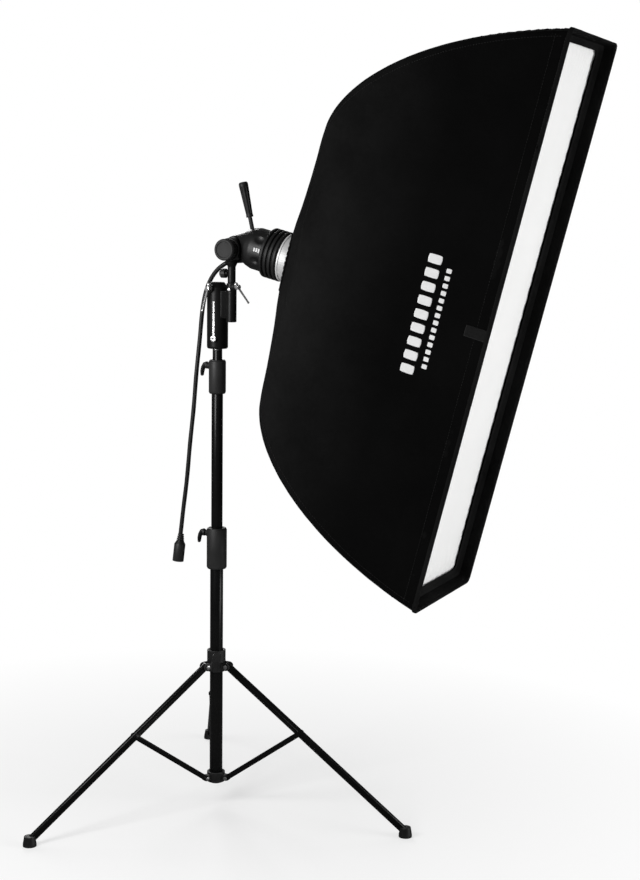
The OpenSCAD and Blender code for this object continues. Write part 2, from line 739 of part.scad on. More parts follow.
// A tapered grip with long flutes, wider at its free end.
module handle_grip() {
  foot_z = 32;
  foot_r = 7.4;
  top_z = 98;
  top_r = 10.5;
  flutes = 8;
  lean = atan((top_r - foot_r) / (top_z - foot_z));
  color("#0c0c0c") light_frame() handle_frame() difference() {
    union() {
      translate([0, 0, foot_z - 4]) cylinder(r = foot_r + 0.6, h = 4);
      translate([0, 0, foot_z]) cylinder(r1 = foot_r, r2 = top_r, h = top_z - foot_z);
      translate([0, 0, top_z]) cylinder(r = top_r, h = 5);
      translate([0, 0, top_z + 5]) cylinder(r1 = top_r, r2 = top_r - 2, h = 3);
    }
    translate([0, 0, foot_z - 5]) cylinder(r = shaft_r + slip, h = 97 - foot_z + slip);
    for (k = [0:flutes - 1]) rotate([0, 0, 360 * k / flutes]) translate([foot_r + 1.1, 0, foot_z + 4])
      rotate([0, lean, 0]) cylinder(r = 1.8, h = top_z - foot_z - 6);
  }
}

// ---------- Speed ring and rods ----------

module speedring_insert() {
  color("#d0d0d0") light_frame() difference() {
    union() {
      along_x(insert_u[0]) cylinder(r = insert_r, h = insert_u[1] - insert_u[0]);
      along_x(insert_u[0]) cylinder(r = insert_r + 1.5, h = 4);
      translate([lock_u - 9, insert_r - 3, -9]) cube([18, 11, 18]);
    }
    along_x(insert_u[0] - 1) cylinder(r = barrel_r + run, h = 80);
    translate([lock_u, insert_r + 4, 0]) cylinder(r = 2 + run, h = 30, center = true);
    translate([lock_u - 12, insert_r - 1, -5 - gap]) cube([30, 12, 10 + 2 * gap]);
  }
}

// The cam lever that locks the ring on the head's nose.
module ring_lock_lever() {
  color("#151515") light_frame() translate([lock_u, insert_r + 4, 0]) {
    cylinder(r = 2, h = 17.6, center = true);
    translate([0, 0, -5]) cylinder(r = 4.4, h = 10);
    translate([-14, 1.5, -5]) cube([14, 5, 10]);
  }
}

module speedring_body() {
  color("#1a1a1a") light_frame() difference() {
    along_x(ring_u[0]) cylinder(r = ring_r, h = ring_u[1] - ring_u[0]);
    along_x(ring_u[0] - 1) cylinder(r = insert_r + slip, h = 20);
    for (a = [0:90:270]) rotate([a, 0, 0]) translate([0, 0, 58.5]) along_x(ring_u[0] - 1)
      cylinder(r = 2 + slip, h = 20);
  }
}

module ring_screws() {
  color("#a8a8a8") light_frame() for (a = [0:90:270]) rotate([a, 0, 0]) translate([0, 0, 58.5]) {
    along_x(ring_u[0] + 1) cylinder(r = 2, h = ring_u[1] - ring_u[0] - 1);
    difference() {
      along_x(ring_u[1]) cylinder(r = 3.5, h = 2.5);
      along_x(ring_u[1] + 1) cylinder(r = 1.5, h = 2.5, $fn = 6);
    }
  }
}

// The rods follow the corners of the cloth, just inside it.
rod_inset = 8;
rod_end_u = front_u - 12;
rod_path = concat(
  [[ring_u[1] + 6.2, 28, 54]],
  [for (s = sections(rod_inset, ring_u[1] + 14, rod_end_u)) [s[0], s[2], s[1]]]
);
socket_l = 34;

module each_corner() {
  for (sy = [0, 1]) for (sz = [0, 1]) mirror([0, sy, 0]) mirror([0, 0, sz]) children();
}

// +Z runs out along a rod from the foot of its socket.
module rod_foot_frame() { translate(rod_path[0]) along(unit(rod_path[1] - rod_path[0])) children(); }

module rod_sockets() {
  corner_azimuth = atan2(rod_path[0][2], rod_path[0][1]);
  color("#8f8f8f") light_frame() each_corner() difference() {
    union() {
      rod_foot_frame() translate([0, 0, -socket_l / 2]) cylinder(r = 5.5, h = socket_l);
      translate([ring_u[1] + slip, rod_path[0][1], rod_path[0][2]]) rotate([corner_azimuth, 0, 0])
        translate([0, -12, -5]) cube([5, 14, 10]);
    }
    rod_foot_frame() translate([0, 0, -socket_l / 2 + 4]) cylinder(r = rod_r + 1.2, h = socket_l);
  }
}

module flex_rods() {
  color("#d8d8d4") light_frame() each_corner() sweep(rod_path, rod_r, [0, 1, -0.2], 8);
}

// Sewn pockets that hold the tips of the rods.
module corner_pockets() {
  tip = rod_path[len(rod_path) - 1];
  dir = unit(tip - rod_path[len(rod_path) - 2]);
  color("#0a0a0a") light_frame() each_corner() translate(tip) along(dir) difference() {
    translate([0, 0, -12]) cylinder(r = 4.1, h = 16);
    translate([0, 0, -13]) cylinder(r = rod_r + 0.8, h = 13 + run);
  }
}

// ---------- Cloth ----------

module outer_shell() { color("#080808") light_frame() cloth_tube(0, 1.4, neck_u + 1, rim_u); }
module silver_lining() { color("#c8c8c8") light_frame() cloth_tube(2, 3, neck_u + 14, front_u - 2); }
module front_lip() { color("#060606") light_frame() cloth_tube(1.6, 2.8, front_u + 0.5, rim_u - 1); }

// Tape sewn inside the edge of the opening round the speed ring.
module neck_binding() { color("#0a0a0a") light_frame() cloth_tube(1.5, 2.1, neck_u + 1.2, neck_u + 9); }

baffle_u = 395;
baffle_inset = 34;

module inner_baffle() { color("#f4f4f4") light_frame() cloth_panel(baffle_u, baffle_inset, 1.5); }

// Elastic straps from the corners of the inner diffuser out to the lining.
module baffle_straps() {
  a = section_at(baffle_u, baffle_inset);
  b = section_at(baffle_u, 4);
  color("#0c0c0c") light_frame() each_corner() linear_strap(
    [baffle_u + 2.5, a[2] - 14, a[1] - 14], [baffle_u + 2.5, b[2] - 18, b[1] - 10]);
}

module linear_strap(p, q) {
  d = q - p;
  translate(p) rotate([-atan2(d[1], d[2]), 0, 0]) translate([-0.8, -6, 0]) cube([1.6, 12, norm(d)]);
}

// Front diffuser: a flat sheet with its hem turned forwards along the lip.
module front_diffuser() {
  hem_u = front_u + 11;
  color("#fbfbfb") light_frame() loft([
    section_at(front_u + 1, 3),
    section_at(hem_u, 3),
    section_at(hem_u, 4.6),
    section_at(front_u + 2.6, 4.6)
  ], false);
}

// A thin patch lying on the near side panel, centred on distance u and height v.
module on_side_panel(u, v) {
  a = section_at(u - 10, 0);
  b = section_at(u + 10, 0);
  s = section_at(u, 0);
  translate([u, -s[2], v]) rotate([0, 0, -atan2(b[2] - a[2], 20)]) children();
}

module touch_patch() {
  color("#020202") light_frame() on_side_panel(rim_u - 30, -9) translate([-25, -1.6, -11.5])
    cube([50, 1.2, 23]);
}

// Two rows of plain printed blocks: [distance u, length along u, count, pitch, height].
module side_label() {
  rows = [[516, 32, 9, 29, 19], [552, 12, 14, 15.5, 9.5]];
  color("#ececec") light_frame() for (row = rows) on_side_panel(row[0], -6) for (k = [0:row[2] - 1])
    translate([-row[1] / 2, -1, (k - (row[2] - 1) / 2) * row[3] - row[4] / 2]) cube([row[1], 0.6, row[4]]);
}

// ---------- Nodes ----------

base_tube();
base_collar();
base_bush();
lower_spider();
lower_spider_pins();
upper_spider();
upper_spider_pins();
spider_knob();
leg_1();
leg_2();
leg_3();
foot_1();
foot_2();
foot_3();
brace_1();
brace_2();
brace_3();
riser_1_tube();
riser_1_collar();
riser_1_bush();
base_wing_knob();
riser_wing_knob();
riser_2_tube();
top_spigot();
adapter_casting();
adapter_bolts();
umbrella_lever();
post_t_handle();
yoke_post();
post_knob();
tilt_bolt();
tilt_knob();
power_cable();
cable_plug();
head_housing();
grip_ring();
reflector_dish();
flash_tube();
modelling_lamp();
glass_cover();
cable_gland();
scale_plate();
handle_shaft();
handle_grip();
speedring_insert();
speedring_body();
ring_screws();
rod_sockets();
flex_rods();
corner_pockets();
ring_lock_lever();
outer_shell();
silver_lining();
front_lip();
neck_binding();
inner_baffle();
baffle_straps();
front_diffuser();
touch_patch();
side_label();
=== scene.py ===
"""Looks of the studio softbox: its cloth, cords, castings and finishes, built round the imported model.

Lengths are metres in the row frame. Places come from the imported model: its joints give the light's
axis and its nodes give the outlines. The cloth is drawn in the light's own frame, (u, y, v): u runs
along the light, y across it and v up it.
"""
import json
import math

import bpy
import numpy as np
from mathutils import Matrix, Vector, noise

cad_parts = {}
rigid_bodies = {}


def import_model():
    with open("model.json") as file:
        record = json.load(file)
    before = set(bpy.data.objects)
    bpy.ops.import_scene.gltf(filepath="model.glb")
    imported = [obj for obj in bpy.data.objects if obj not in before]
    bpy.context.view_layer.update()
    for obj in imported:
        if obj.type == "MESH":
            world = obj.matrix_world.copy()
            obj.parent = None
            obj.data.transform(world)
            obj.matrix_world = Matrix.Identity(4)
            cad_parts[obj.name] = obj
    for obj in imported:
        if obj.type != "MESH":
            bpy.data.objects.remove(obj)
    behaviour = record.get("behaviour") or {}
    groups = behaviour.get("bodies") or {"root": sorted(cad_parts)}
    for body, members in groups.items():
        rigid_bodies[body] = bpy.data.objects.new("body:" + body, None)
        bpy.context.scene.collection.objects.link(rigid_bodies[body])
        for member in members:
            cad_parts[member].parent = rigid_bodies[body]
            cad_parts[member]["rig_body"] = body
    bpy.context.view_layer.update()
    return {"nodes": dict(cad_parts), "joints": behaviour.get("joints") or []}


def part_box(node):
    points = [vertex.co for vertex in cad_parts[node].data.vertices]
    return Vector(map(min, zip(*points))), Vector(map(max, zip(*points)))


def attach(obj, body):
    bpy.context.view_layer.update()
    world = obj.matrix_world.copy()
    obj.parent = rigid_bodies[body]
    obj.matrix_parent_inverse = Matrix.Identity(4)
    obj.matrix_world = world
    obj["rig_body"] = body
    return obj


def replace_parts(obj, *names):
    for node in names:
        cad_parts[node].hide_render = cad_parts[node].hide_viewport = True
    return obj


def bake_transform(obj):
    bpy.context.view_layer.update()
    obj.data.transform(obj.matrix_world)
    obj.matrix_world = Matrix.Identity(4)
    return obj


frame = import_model()
NODES = frame["nodes"]
JOINTS = {j["name"]: j for j in frame["joints"]}
MM = 0.001


# ---------- The light's frame ----------

def unit(v):
    v = np.asarray(v, float)
    return v / np.linalg.norm(v)


AXIS = unit(JOINTS["softbox_roll"]["axis"])
SIDE = np.array([0.0, 1.0, 0.0])
LIFT = unit(np.cross(AXIS, SIDE))
PIVOT = np.array(JOINTS["head_tilt"]["pos_m"], float)
ON_AXIS = np.array(JOINTS["softbox_roll"]["pos_m"], float)
ORIGIN = ON_AXIS + AXIS * ((PIVOT - ON_AXIS) @ AXIS)


def place(uyv):
    """Row-frame points for points (u, y, v) in the light's frame."""
    uyv = np.asarray(uyv, float)
    return ORIGIN + uyv[..., :1] * AXIS + uyv[..., 1:2] * SIDE + uyv[..., 2:3] * LIFT


def light_points(node):
    """A CAD node's vertices in the light's frame."""
    d = np.array([v.co for v in NODES[node].data.vertices], float) - ORIGIN
    return np.stack([d @ AXIS, d @ SIDE, d @ LIFT], axis=1)


def light_span(node, column):
    q = light_points(node)[:, column]
    return q.min(), q.max()


# ---------- Curves ----------

def smooth_path(points, count):
    """Evenly spaced points along a smooth curve through the given ones."""
    p = np.asarray(points, float)
    t = np.concatenate([[0], np.cumsum(np.linalg.norm(np.diff(p, axis=0), axis=1))])
    slope = np.gradient(p, t, axis=0)
    s = np.linspace(0, t[-1], count)
    i = np.clip(np.searchsorted(t, s, side="right") - 1, 0, len(p) - 2)
    h = (t[i + 1] - t[i])[:, None]
    x = (s - t[i])[:, None] / h
    start = (2 * x**3 - 3 * x**2 + 1) * p[i] + (x**3 - 2 * x**2 + x) * h * slope[i]
    end = (3 * x**2 - 2 * x**3) * p[i + 1] + (x**3 - x**2) * h * slope[i + 1]
    return start + end


def arc_length(points):
    return np.concatenate([[0], np.cumsum(np.linalg.norm(np.diff(points, axis=0), axis=1))])


def rough(points, scale, seed=0.0):
    """Smooth noise from -1 to 1 at each point."""
    flat = np.asarray(points, float).reshape(-1, 3)
    shift = Vector((seed, 1.7 * seed, -2.3 * seed))
    values = [noise.noise(Vector(p) * scale + shift) for p in flat]
    return np.array(values).reshape(np.shape(points)[:-1])


def ease(x):
    x = np.clip(x, 0, 1)
    return x * x * (3 - 2 * x)


# ---------- Meshes ----------

def make_piece(name, verts, faces, material, body, uvs=None):
    """A smooth mesh object that rides on a body, or on none when the body is empty."""
    mesh = bpy.data.meshes.new(name)
    mesh.from_pydata([tuple(v) for v in np.asarray(verts, float).reshape(-1, 3)], [], faces)
    if uvs is not None:
        layer = mesh.uv_layers.new(name="cloth")
        flat = np.asarray(uvs, float).reshape(-1, 2)
        corner = np.zeros(len(mesh.loops), int)
        mesh.loops.foreach_get("vertex_index", corner)
        layer.data.foreach_set("uv", flat[corner].ravel())
    mesh.shade_smooth()
    mesh.materials.append(material)
    obj = bpy.data.objects.new(name, mesh)
    bpy.context.scene.collection.objects.link(obj)
    if body:
        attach(obj, body)
    return obj


def grid_faces(rows, columns, wrap=False, flip=False, start=0):
    across = columns if wrap else columns - 1
    faces = []
    for i in range(rows - 1):
        for j in range(across):
            k = (j + 1) % columns
            face = (i * columns + j, i * columns + k, (i + 1) * columns + k, (i + 1) * columns + j)
            faces.append(tuple(start + f for f in (reversed(face) if flip else face)))
    return faces


def grid_normals(points):
    """Unit normals of a grid of points, by row then column."""
    down = np.gradient(points, axis=0)
    across = np.gradient(points, axis=1)
    n = np.cross(down, across)
    return n / np.maximum(np.linalg.norm(n, axis=2, keepdims=True), 1e-12)


def thicken(obj, thickness, offset=-1.0):
    """Give a sheet thickness, inwards by default and to both sides with offset 0."""
    solid = obj.modifiers.new("thickness", "SOLIDIFY")
    solid.thickness = thickness
    solid.offset = offset
    return obj


def merge(parts):
    """One (vertices, faces) pair from several."""
    verts, faces, base = [], [], 0
    for v, f in parts:
        v = np.asarray(v, float).reshape(-1, 3)
        verts.append(v)
        faces += [tuple(base + i for i in face) for face in f]
        base += len(v)
    return np.concatenate(verts), faces


def swept(path, radius, up, sides=12, wide=1.0):
    """(vertices, faces) of a capped round or oval bar along a path."""
    path = np.asarray(path, float)
    radius = np.broadcast_to(radius, len(path))
    t = np.gradient(path, axis=0)
    t /= np.linalg.norm(t, axis=1, keepdims=True)
    n = np.cross(t, up)
    n /= np.linalg.norm(n, axis=1, keepdims=True)
    b = np.cross(t, n)
    angle = np.linspace(0, 2 * math.pi, sides, endpoint=False)
    ring = np.cos(angle)[None, :, None] * n[:, None] * wide + np.sin(angle)[None, :, None] * b[:, None]
    verts = path[:, None] + radius[:, None, None] * ring
    faces = grid_faces(len(path), sides, wrap=True)
    last = (len(path) - 1) * sides
    faces.append(tuple(range(sides - 1, -1, -1)))
    faces.append(tuple(last + k for k in range(sides)))
    return verts.reshape(-1, 3), faces


def stitches(points, normals, pitch, length, radius):
    """(vertices, faces) of a row of thread stitches along a line of points."""
    s = arc_length(points)
    parts = []
    for centre in np.arange(pitch, s[-1] - pitch, pitch):
        ends = [np.array([np.interp(centre + d, s, points[:, k]) for k in range(3)])
                for d in (-length / 2, -length / 4, 0, length / 4, length / 2)]
        n = unit([np.interp(centre, s, normals[:, k]) for k in range(3)])
        lift = [0, 0.8, 1, 0.8, 0]
        path = [e + n * radius * h for e, h in zip(ends, lift)]
        parts.append(swept(path, radius * np.array([0.5, 1, 1, 1, 0.5]), n, sides=5))
    return merge(parts)


# ---------- Materials ----------

class Shader:
    """A short way to write a node material."""

    def __init__(self, name):
        self.material = bpy.data.materials.new(name)
        self.material.use_nodes = True
        self.tree = self.material.node_tree
        self.bsdf = self.tree.nodes["Principled BSDF"]
        self.output = self.tree.nodes["Material Output"]

    def put(self, node, **inputs):
        for key, value in inputs.items():
            socket = node.inputs[key.replace("_", " ")]
            if isinstance(value, bpy.types.NodeSocket):
                self.tree.links.new(value, socket)
            else:
                socket.default_value = value
        return node

    def node(self, kind, settings=None, **inputs):
        made = self.tree.nodes.new("ShaderNode" + kind)
        for key, value in (settings or {}).items():
            setattr(made, key, value)
        return self.put(made, **inputs)

    def coords(self, source="Object", stretch=(1, 1, 1)):
        if source == "cloth":
            vector = self.node("UVMap", {"uv_map": "cloth"}).outputs["UV"]
        else:
            vector = self.node("TexCoord").outputs["Object"]
        return self.node("Mapping", Vector=vector, Scale=stretch).outputs["Vector"]

    def noise(self, vector, scale, detail=3.0, roughness=0.5):
        made = self.node("TexNoise", Vector=vector, Scale=scale, Detail=detail, Roughness=roughness)
        return made.outputs["Fac"]

    def ramp(self, value, low, high, from_low=0.3, from_high=0.7):
        """The value, moved from one range to another and held at its ends."""
        made = self.node("MapRange", Value=value)
        self.put(made, From_Min=from_low, From_Max=from_high, To_Min=low, To_Max=high)
        return made.outputs["Result"]

    def mix(self, share, a, b):
        made = self.node("MixRGB", Fac=share)
        self.put(made, Color1=a, Color2=b)
        return made.outputs["Color"]

    def maths(self, operation, a, b=0.0):
        made = self.node("Math", {"operation": operation})
        for socket, value in zip(made.inputs, (a, b)):
            if isinstance(value, bpy.types.NodeSocket):
                self.tree.links.new(value, socket)
            else:
                socket.default_value = value
        return made.outputs["Value"]

    def bump(self, height, strength, distance, under=None):
        made = self.node("Bump", Height=height, Strength=strength, Distance=distance)
        if under is not None:
            self.put(made, Normal=under)
        return made.outputs["Normal"]

    def finish(self, **inputs):
        self.put(self.bsdf, **inputs)
        return self.material


def grey(value, warmth=0.0):
    return (value * (1 + warmth), value, value * (1 - warmth), 1.0)


def woven(name, dark, light, roughness=0.85, thread=0.0011, spec=0.02, strength=0.35, painted_shade_tone=None):
    """Plain-weave cloth, read along the cloth's own UVs in metres; the last argument is painted shade, a
    darker tone mixed in towards the front and far from the middle of each panel.
    """
    s = Shader(name)
    uv = s.coords("cloth")
    waves = []
    for direction in ("X", "Y"):
        wave = s.node("TexWave", {"wave_type": "BANDS", "bands_direction": direction},
                      Vector=uv, Scale=0.314 / thread, Distortion=0.6, Detail=1.0)
        waves.append(wave.outputs["Fac"])
    weave = s.maths("MULTIPLY", waves[0], waves[1])
    blotch = s.noise(s.coords(), 5.0, 5.0, 0.6)
    fleck = s.noise(s.coords(), 90.0, 4.0, 0.7)
    tone = s.ramp(s.maths("ADD", s.maths("MULTIPLY", blotch, 0.7), s.maths("MULTIPLY", fleck, 0.3)),
                  0.0, 1.0, 0.36, 0.64)
    colour = s.mix(tone, dark, light)
    if painted_shade_tone:
        # Painted shade: the tone darkens along the panel towards the front and across it far from the middle,
        # standing in for light falling off.
        parts = s.node("SeparateXYZ", Vector=uv)
        ahead = s.ramp(parts.outputs["X"], 0.0, 0.75, 0.34, 0.64)
        painted_shade_off_middle = s.ramp(s.maths("ABSOLUTE", parts.outputs["Y"]), 0.0, 0.8, 0.36, 0.68)
        colour = s.mix(s.maths("MAXIMUM", ahead, painted_shade_off_middle), colour, painted_shade_tone)
    threads = s.bump(weave, strength, thread * 0.4)
    creases = s.bump(s.noise(s.coords(), 34.0, 4.0, 0.55), 0.25, 0.003, threads)
    return s.finish(Base_Color=colour, Roughness=s.ramp(fleck, roughness - 0.06, roughness + 0.06),
                    Normal=creases, Specular_IOR_Level=spec)


def moulded(name, dark, light, roughness=0.45, grain=900.0, strength=0.12, wear=0.25, spec=0.4):
    """Moulded plastic or rubber: fine grain, faint blotches, edges rubbed a little lighter."""
    s = Shader(name)
    at = s.coords()
    blotch = s.noise(at, 22.0, 4.0)
    edge = s.ramp(s.node("NewGeometry").outputs["Pointiness"], 0.0, wear, 0.51, 0.58)
    colour = s.mix(edge, s.mix(s.ramp(blotch, 0, 1), dark, light), grey(0.09))
    fine = s.bump(s.noise(at, grain, 2.0, 0.6), strength, 0.0004)
    return s.finish(Base_Color=colour, Roughness=s.ramp(blotch, roughness - 0.07, roughness + 0.09),
                    Normal=fine, Specular_IOR_Level=spec)


def enamelled(name, dark, light, roughness=0.35, stretch=(1, 1, 0.05), wear=0.3, coat=0.15):
    """Satin paint or black anodising on metal: faint draw lines along the tube and worn edges."""
    s = Shader(name)
    lines = s.noise(s.coords(stretch=stretch), 700.0, 3.0)
    cloud = s.noise(s.coords(), 14.0, 4.0)
    edge = s.ramp(s.node("NewGeometry").outputs["Pointiness"], 0.0, wear, 0.52, 0.6)
    colour = s.mix(edge, s.mix(s.ramp(cloud, 0, 1), dark, light), grey(0.2))
    rough_map = s.maths("ADD", s.ramp(lines, roughness - 0.05, roughness + 0.05),
                        s.ramp(cloud, -0.03, 0.05))
    return s.finish(Base_Color=colour, Roughness=rough_map, Normal=s.bump(lines, 0.08, 0.0003),
                    Coat_Weight=coat, Coat_Roughness=0.3, Specular_IOR_Level=0.16)


def bare_metal(name, colour, roughness=0.25, stretch=(1, 1, 0.04), strength=0.1, metal=1.0):
    """Bare metal with brushing along one direction and small stains."""
    s = Shader(name)
    lines = s.noise(s.coords(stretch=stretch), 1200.0, 2.0)
    stain = s.noise(s.coords(), 30.0, 5.0, 0.6)
    shade = s.mix(s.ramp(stain, 0.0, 0.35), colour, tuple(0.6 * c for c in colour[:3]) + (1.0,))
    return s.finish(Base_Color=shade, Metallic=metal, Normal=s.bump(lines, strength, 0.0002),
                    Roughness=s.ramp(stain, roughness - 0.05, roughness + 0.1))


def clear_glass(name, tint, roughness=0.02, weight=1.0):
    s = Shader(name)
    smear = s.noise(s.coords(), 60.0, 3.0)
    return s.finish(Base_Color=tint, Transmission_Weight=weight, IOR=1.47,
                    Roughness=s.ramp(smear, roughness, roughness + 0.05))


def translucent_cloth(name, colour, share=0.35):
    """White ripstop diffuser cloth: fine weave, soft glow of light passing through it."""
    s = Shader(name)
    uv = s.coords("cloth")
    waves = [s.node("TexWave", {"wave_type": "BANDS", "bands_direction": d}, Vector=uv,
                    Scale=320.0, Distortion=0.3).outputs["Fac"] for d in ("X", "Y")]
    ripstop = [s.ramp(s.node("TexWave", {"wave_type": "BANDS", "bands_direction": d}, Vector=uv,
                             Scale=52.0).outputs["Fac"], 0, 1, 0.93, 1.0) for d in ("X", "Y")]
    height = s.maths("ADD", s.maths("MULTIPLY", waves[0], waves[1]),
                     s.maths("MAXIMUM", ripstop[0], ripstop[1]))
    cloud = s.noise(s.coords(), 7.0, 4.0)
    shade = s.mix(s.ramp(cloud, 0, 0.5), colour, tuple(0.94 * c for c in colour[:3]) + (1.0,))
    normal = s.bump(height, 0.15, 0.0003)
    s.finish(Base_Color=shade, Roughness=0.8, Normal=normal, Specular_IOR_Level=0.2, Sheen_Weight=0.1)
    glow = s.node("BsdfTranslucent", Color=shade, Normal=normal)
    both = s.node("MixShader", Fac=share)
    s.tree.links.new(s.bsdf.outputs[0], both.inputs[1])
    s.tree.links.new(glow.outputs[0], both.inputs[2])
    s.tree.links.new(both.outputs[0], s.output.inputs["Surface"])
    return s.material


def hook_tape(name):
    """Loop tape: a dense nap of tiny bumps."""
    s = Shader(name)
    cells = s.node("TexVoronoi", Vector=s.coords(), Scale=1100.0).outputs["Distance"]
    fuzz = s.noise(s.coords(), 500.0, 4.0)
    return s.finish(Base_Color=s.mix(s.ramp(fuzz, 0, 1), grey(0.002), grey(0.007)), Roughness=0.95,
                    Normal=s.bump(s.maths("ADD", cells, fuzz), 0.6, 0.0006), Sheen_Weight=0.15,
                    Specular_IOR_Level=0.15)


def silver_cloth():
    """Metallised lining: crinkled silver film on cloth."""
    s = Shader("silver_lining_cloth")
    crinkle = s.noise(s.coords(), 120.0, 6.0, 0.65)
    broad = s.noise(s.coords(), 14.0, 3.0)
    normal = s.bump(broad, 0.3, 0.004, s.bump(crinkle, 0.5, 0.0012))
    return s.finish(Base_Color=s.mix(s.ramp(crinkle, 0, 0.6), grey(0.72), grey(0.5)), Metallic=0.85,
                    Roughness=s.ramp(crinkle, 0.32, 0.5), Normal=normal)


M = {
    # The shell's last tone, grey(0.001), is painted shade towards the front and far from the middle of each
    # panel.
    "shell": woven("black_nylon", grey(0.0055), grey(0.0105), painted_shade_tone=grey(0.001)),
    "lip": woven("black_nylon_lip", grey(0.003), grey(0.006)),
    "tape": woven("black_webbing", grey(0.005), grey(0.011), thread=0.0016, strength=0.6),
    "thread": moulded("black_thread", grey(0.012), grey(0.02), 0.7, 3000.0, 0.3, 0.0),
    "hook": hook_tape("loop_tape"),
    "lining": silver_cloth(),
    "white": translucent_cloth("diffuser_cloth", (0.93, 0.93, 0.925, 1.0), 0.15),
    "baffle": translucent_cloth("baffle_cloth", (0.84, 0.84, 0.82, 1.0), 0.45),
    "hem": woven("black_elastic", grey(0.005), grey(0.012), thread=0.0014, strength=0.6),
    "print": woven("white_print", grey(0.7), grey(0.8)),
    "tube": enamelled("black_anodised_tube", grey(0.0015), grey(0.003), 0.22, wear=0.03, coat=0.06),
    "cast": enamelled("black_cast_paint", grey(0.004), grey(0.008), 0.36, (1, 1, 1), 0.25, 0.08),
    "head": moulded("head_plastic", grey(0.006), grey(0.011), 0.4, 700.0, 0.15, 0.2, 0.35),
    "collar": moulded("charcoal_nylon", grey(0.008), grey(0.014), 0.5, 500.0, 0.2, 0.3, 0.3),
    "bush": moulded("bush_nylon", grey(0.02), grey(0.03), 0.5),
    "knob": moulded("knob_plastic", grey(0.005), grey(0.01), 0.45, 600.0, 0.2, 0.25, 0.3),
    "wheel": moulded("wheel_rubber", grey(0.014), grey(0.022), 0.6, 500.0, 0.25, 0.2, 0.3),
    "rubber": moulded("black_rubber", grey(0.004), grey(0.009), 0.5, 800.0, 0.25, 0.15, 0.3),
    "cable": moulded("cable_sheath", grey(0.006), grey(0.012), 0.45, 1200.0, 0.1, 0.0, 0.35),
    "plate": moulded("black_scale", grey(0.006), grey(0.01), 0.3, 900.0, 0.05, 0.0),
    "steel": bare_metal("zinc_steel", grey(0.5), 0.3),
    "chrome": bare_metal("polished_steel", grey(0.9), 0.16, strength=0.03, metal=0.8),
    "ring": bare_metal("silver_ring", grey(0.86), 0.4, (1, 1, 1), 0.05, metal=0.45),
    "dish": bare_metal("dish_metal", grey(0.85), 0.15, (1, 1, 1), 0.05),
    "socket": enamelled("grey_socket", grey(0.1), grey(0.14), 0.4),
    "rod": moulded("glass_fibre", grey(0.55), grey(0.65), 0.35, 900.0, 0.1, 0.0),
    "dome": clear_glass("clear_dome", (0.96, 0.98, 0.98, 1.0)),
    "flash": clear_glass("frosted_tube", (0.95, 0.95, 0.9, 1.0), 0.3, 0.6),
    "lamp": clear_glass("lamp_glass", (1.0, 0.97, 0.88, 1.0), 0.1, 0.8),
}


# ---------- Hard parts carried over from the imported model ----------

FINISH = {
    "tube": ["base_tube", "riser_1_tube", "riser_2_tube", "leg_1", "leg_2", "leg_3",
             "brace_1", "brace_2", "brace_3"],
    "bush": ["base_bush", "riser_1_bush"],
    "steel": ["lower_spider_pins", "upper_spider_pins", "top_spigot", "adapter_bolts", "tilt_bolt",
              "ring_screws"],
    "cast": ["handle_shaft"],
    "chrome": ["umbrella_lever", "post_t_handle"],
    "knob": ["spider_knob", "post_knob", "ring_lock_lever", "cable_plug"],
    "wheel": ["tilt_knob"],
    "rubber": ["foot_1", "foot_2", "foot_3", "handle_grip", "cable_gland", "grip_ring"],
    "dish": ["reflector_dish"],
    "flash": ["flash_tube"],
    "lamp": ["modelling_lamp"],
    "dome": ["glass_cover"],
    "plate": ["scale_plate"],
    "ring": ["speedring_insert"],
    "socket": ["speedring_body", "rod_sockets"],
    "rod": ["flex_rods"],
    "collar": ["base_collar", "riser_1_collar"],
}
NO_BEVEL = {"scale_plate", "flex_rods", "flash_tube", "modelling_lamp", "glass_cover", "reflector_dish"}


def dress_node(node, material, bevel=0.5 * MM):
    obj = NODES[node]
    obj.data.materials.clear()
    obj.data.materials.append(material)
    weld = obj.modifiers.new("weld", "WELD")
    weld.merge_threshold = 0.01 * MM
    if node not in NO_BEVEL:
        soften = obj.modifiers.new("bevel", "BEVEL")
        soften.width = bevel
        soften.segments = 2
        soften.limit_method = "ANGLE"
        soften.angle_limit = math.radians(38)
        soften.harden_normals = True
    obj.data.shade_smooth()
    obj.data.set_sharp_from_angle(angle=math.radians(38))


for finish, nodes in FINISH.items():
    for node in nodes:
        dress_node(node, M[finish])


def cast_copy(node, name, material, voxel, passes):
    """A casting's look: the node's own solid with every inside corner filleted and every edge rounded."""
    source = NODES[node]
    obj = bpy.data.objects.new(name, source.data.copy())
    bpy.context.scene.collection.objects.link(obj)
    weld = obj.modifiers.new("weld", "WELD")
    weld.merge_threshold = 0.01 * MM
    remesh = obj.modifiers.new("remesh", "REMESH")
    remesh.mode = "VOXEL"
    remesh.voxel_size = voxel
    relax = obj.modifiers.new("relax", "SMOOTH")
    relax.factor = 0.5
    relax.iterations = passes
    graph = bpy.context.evaluated_depsgraph_get()
    mesh = bpy.data.meshes.new_from_object(obj.evaluated_get(graph))
    obj.modifiers.clear()
    obj.data = mesh
    mesh.materials.clear()
    mesh.materials.append(material)
    mesh.shade_smooth()
    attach(obj, source["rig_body"])
    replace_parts(obj, node)
    return obj


CASTINGS = [
    ("head_housing", "head_casting", "head", 1.6 * MM, 6),
    ("adapter_casting", "adapter_cast", "cast", 1.2 * MM, 4),
    ("yoke_post", "yoke_cast", "cast", 1.2 * MM, 4),
    ("upper_spider", "upper_spider_cast", "collar", 1.0 * MM, 3),
    ("lower_spider", "lower_spider_cast", "collar", 1.0 * MM, 3),
    ("base_wing_knob", "base_wing_moulding", "knob", 0.7 * MM, 4),
    ("riser_wing_knob", "riser_wing_moulding", "knob", 0.7 * MM, 4),
]
for node, name, finish, voxel, passes in CASTINGS:
    cast_copy(node, name, M[finish], voxel, passes)


# ---------- Softbox cloth ----------

SOFTBOX = "softbox"
ROWS = 140  # points along each panel, from neck to rim


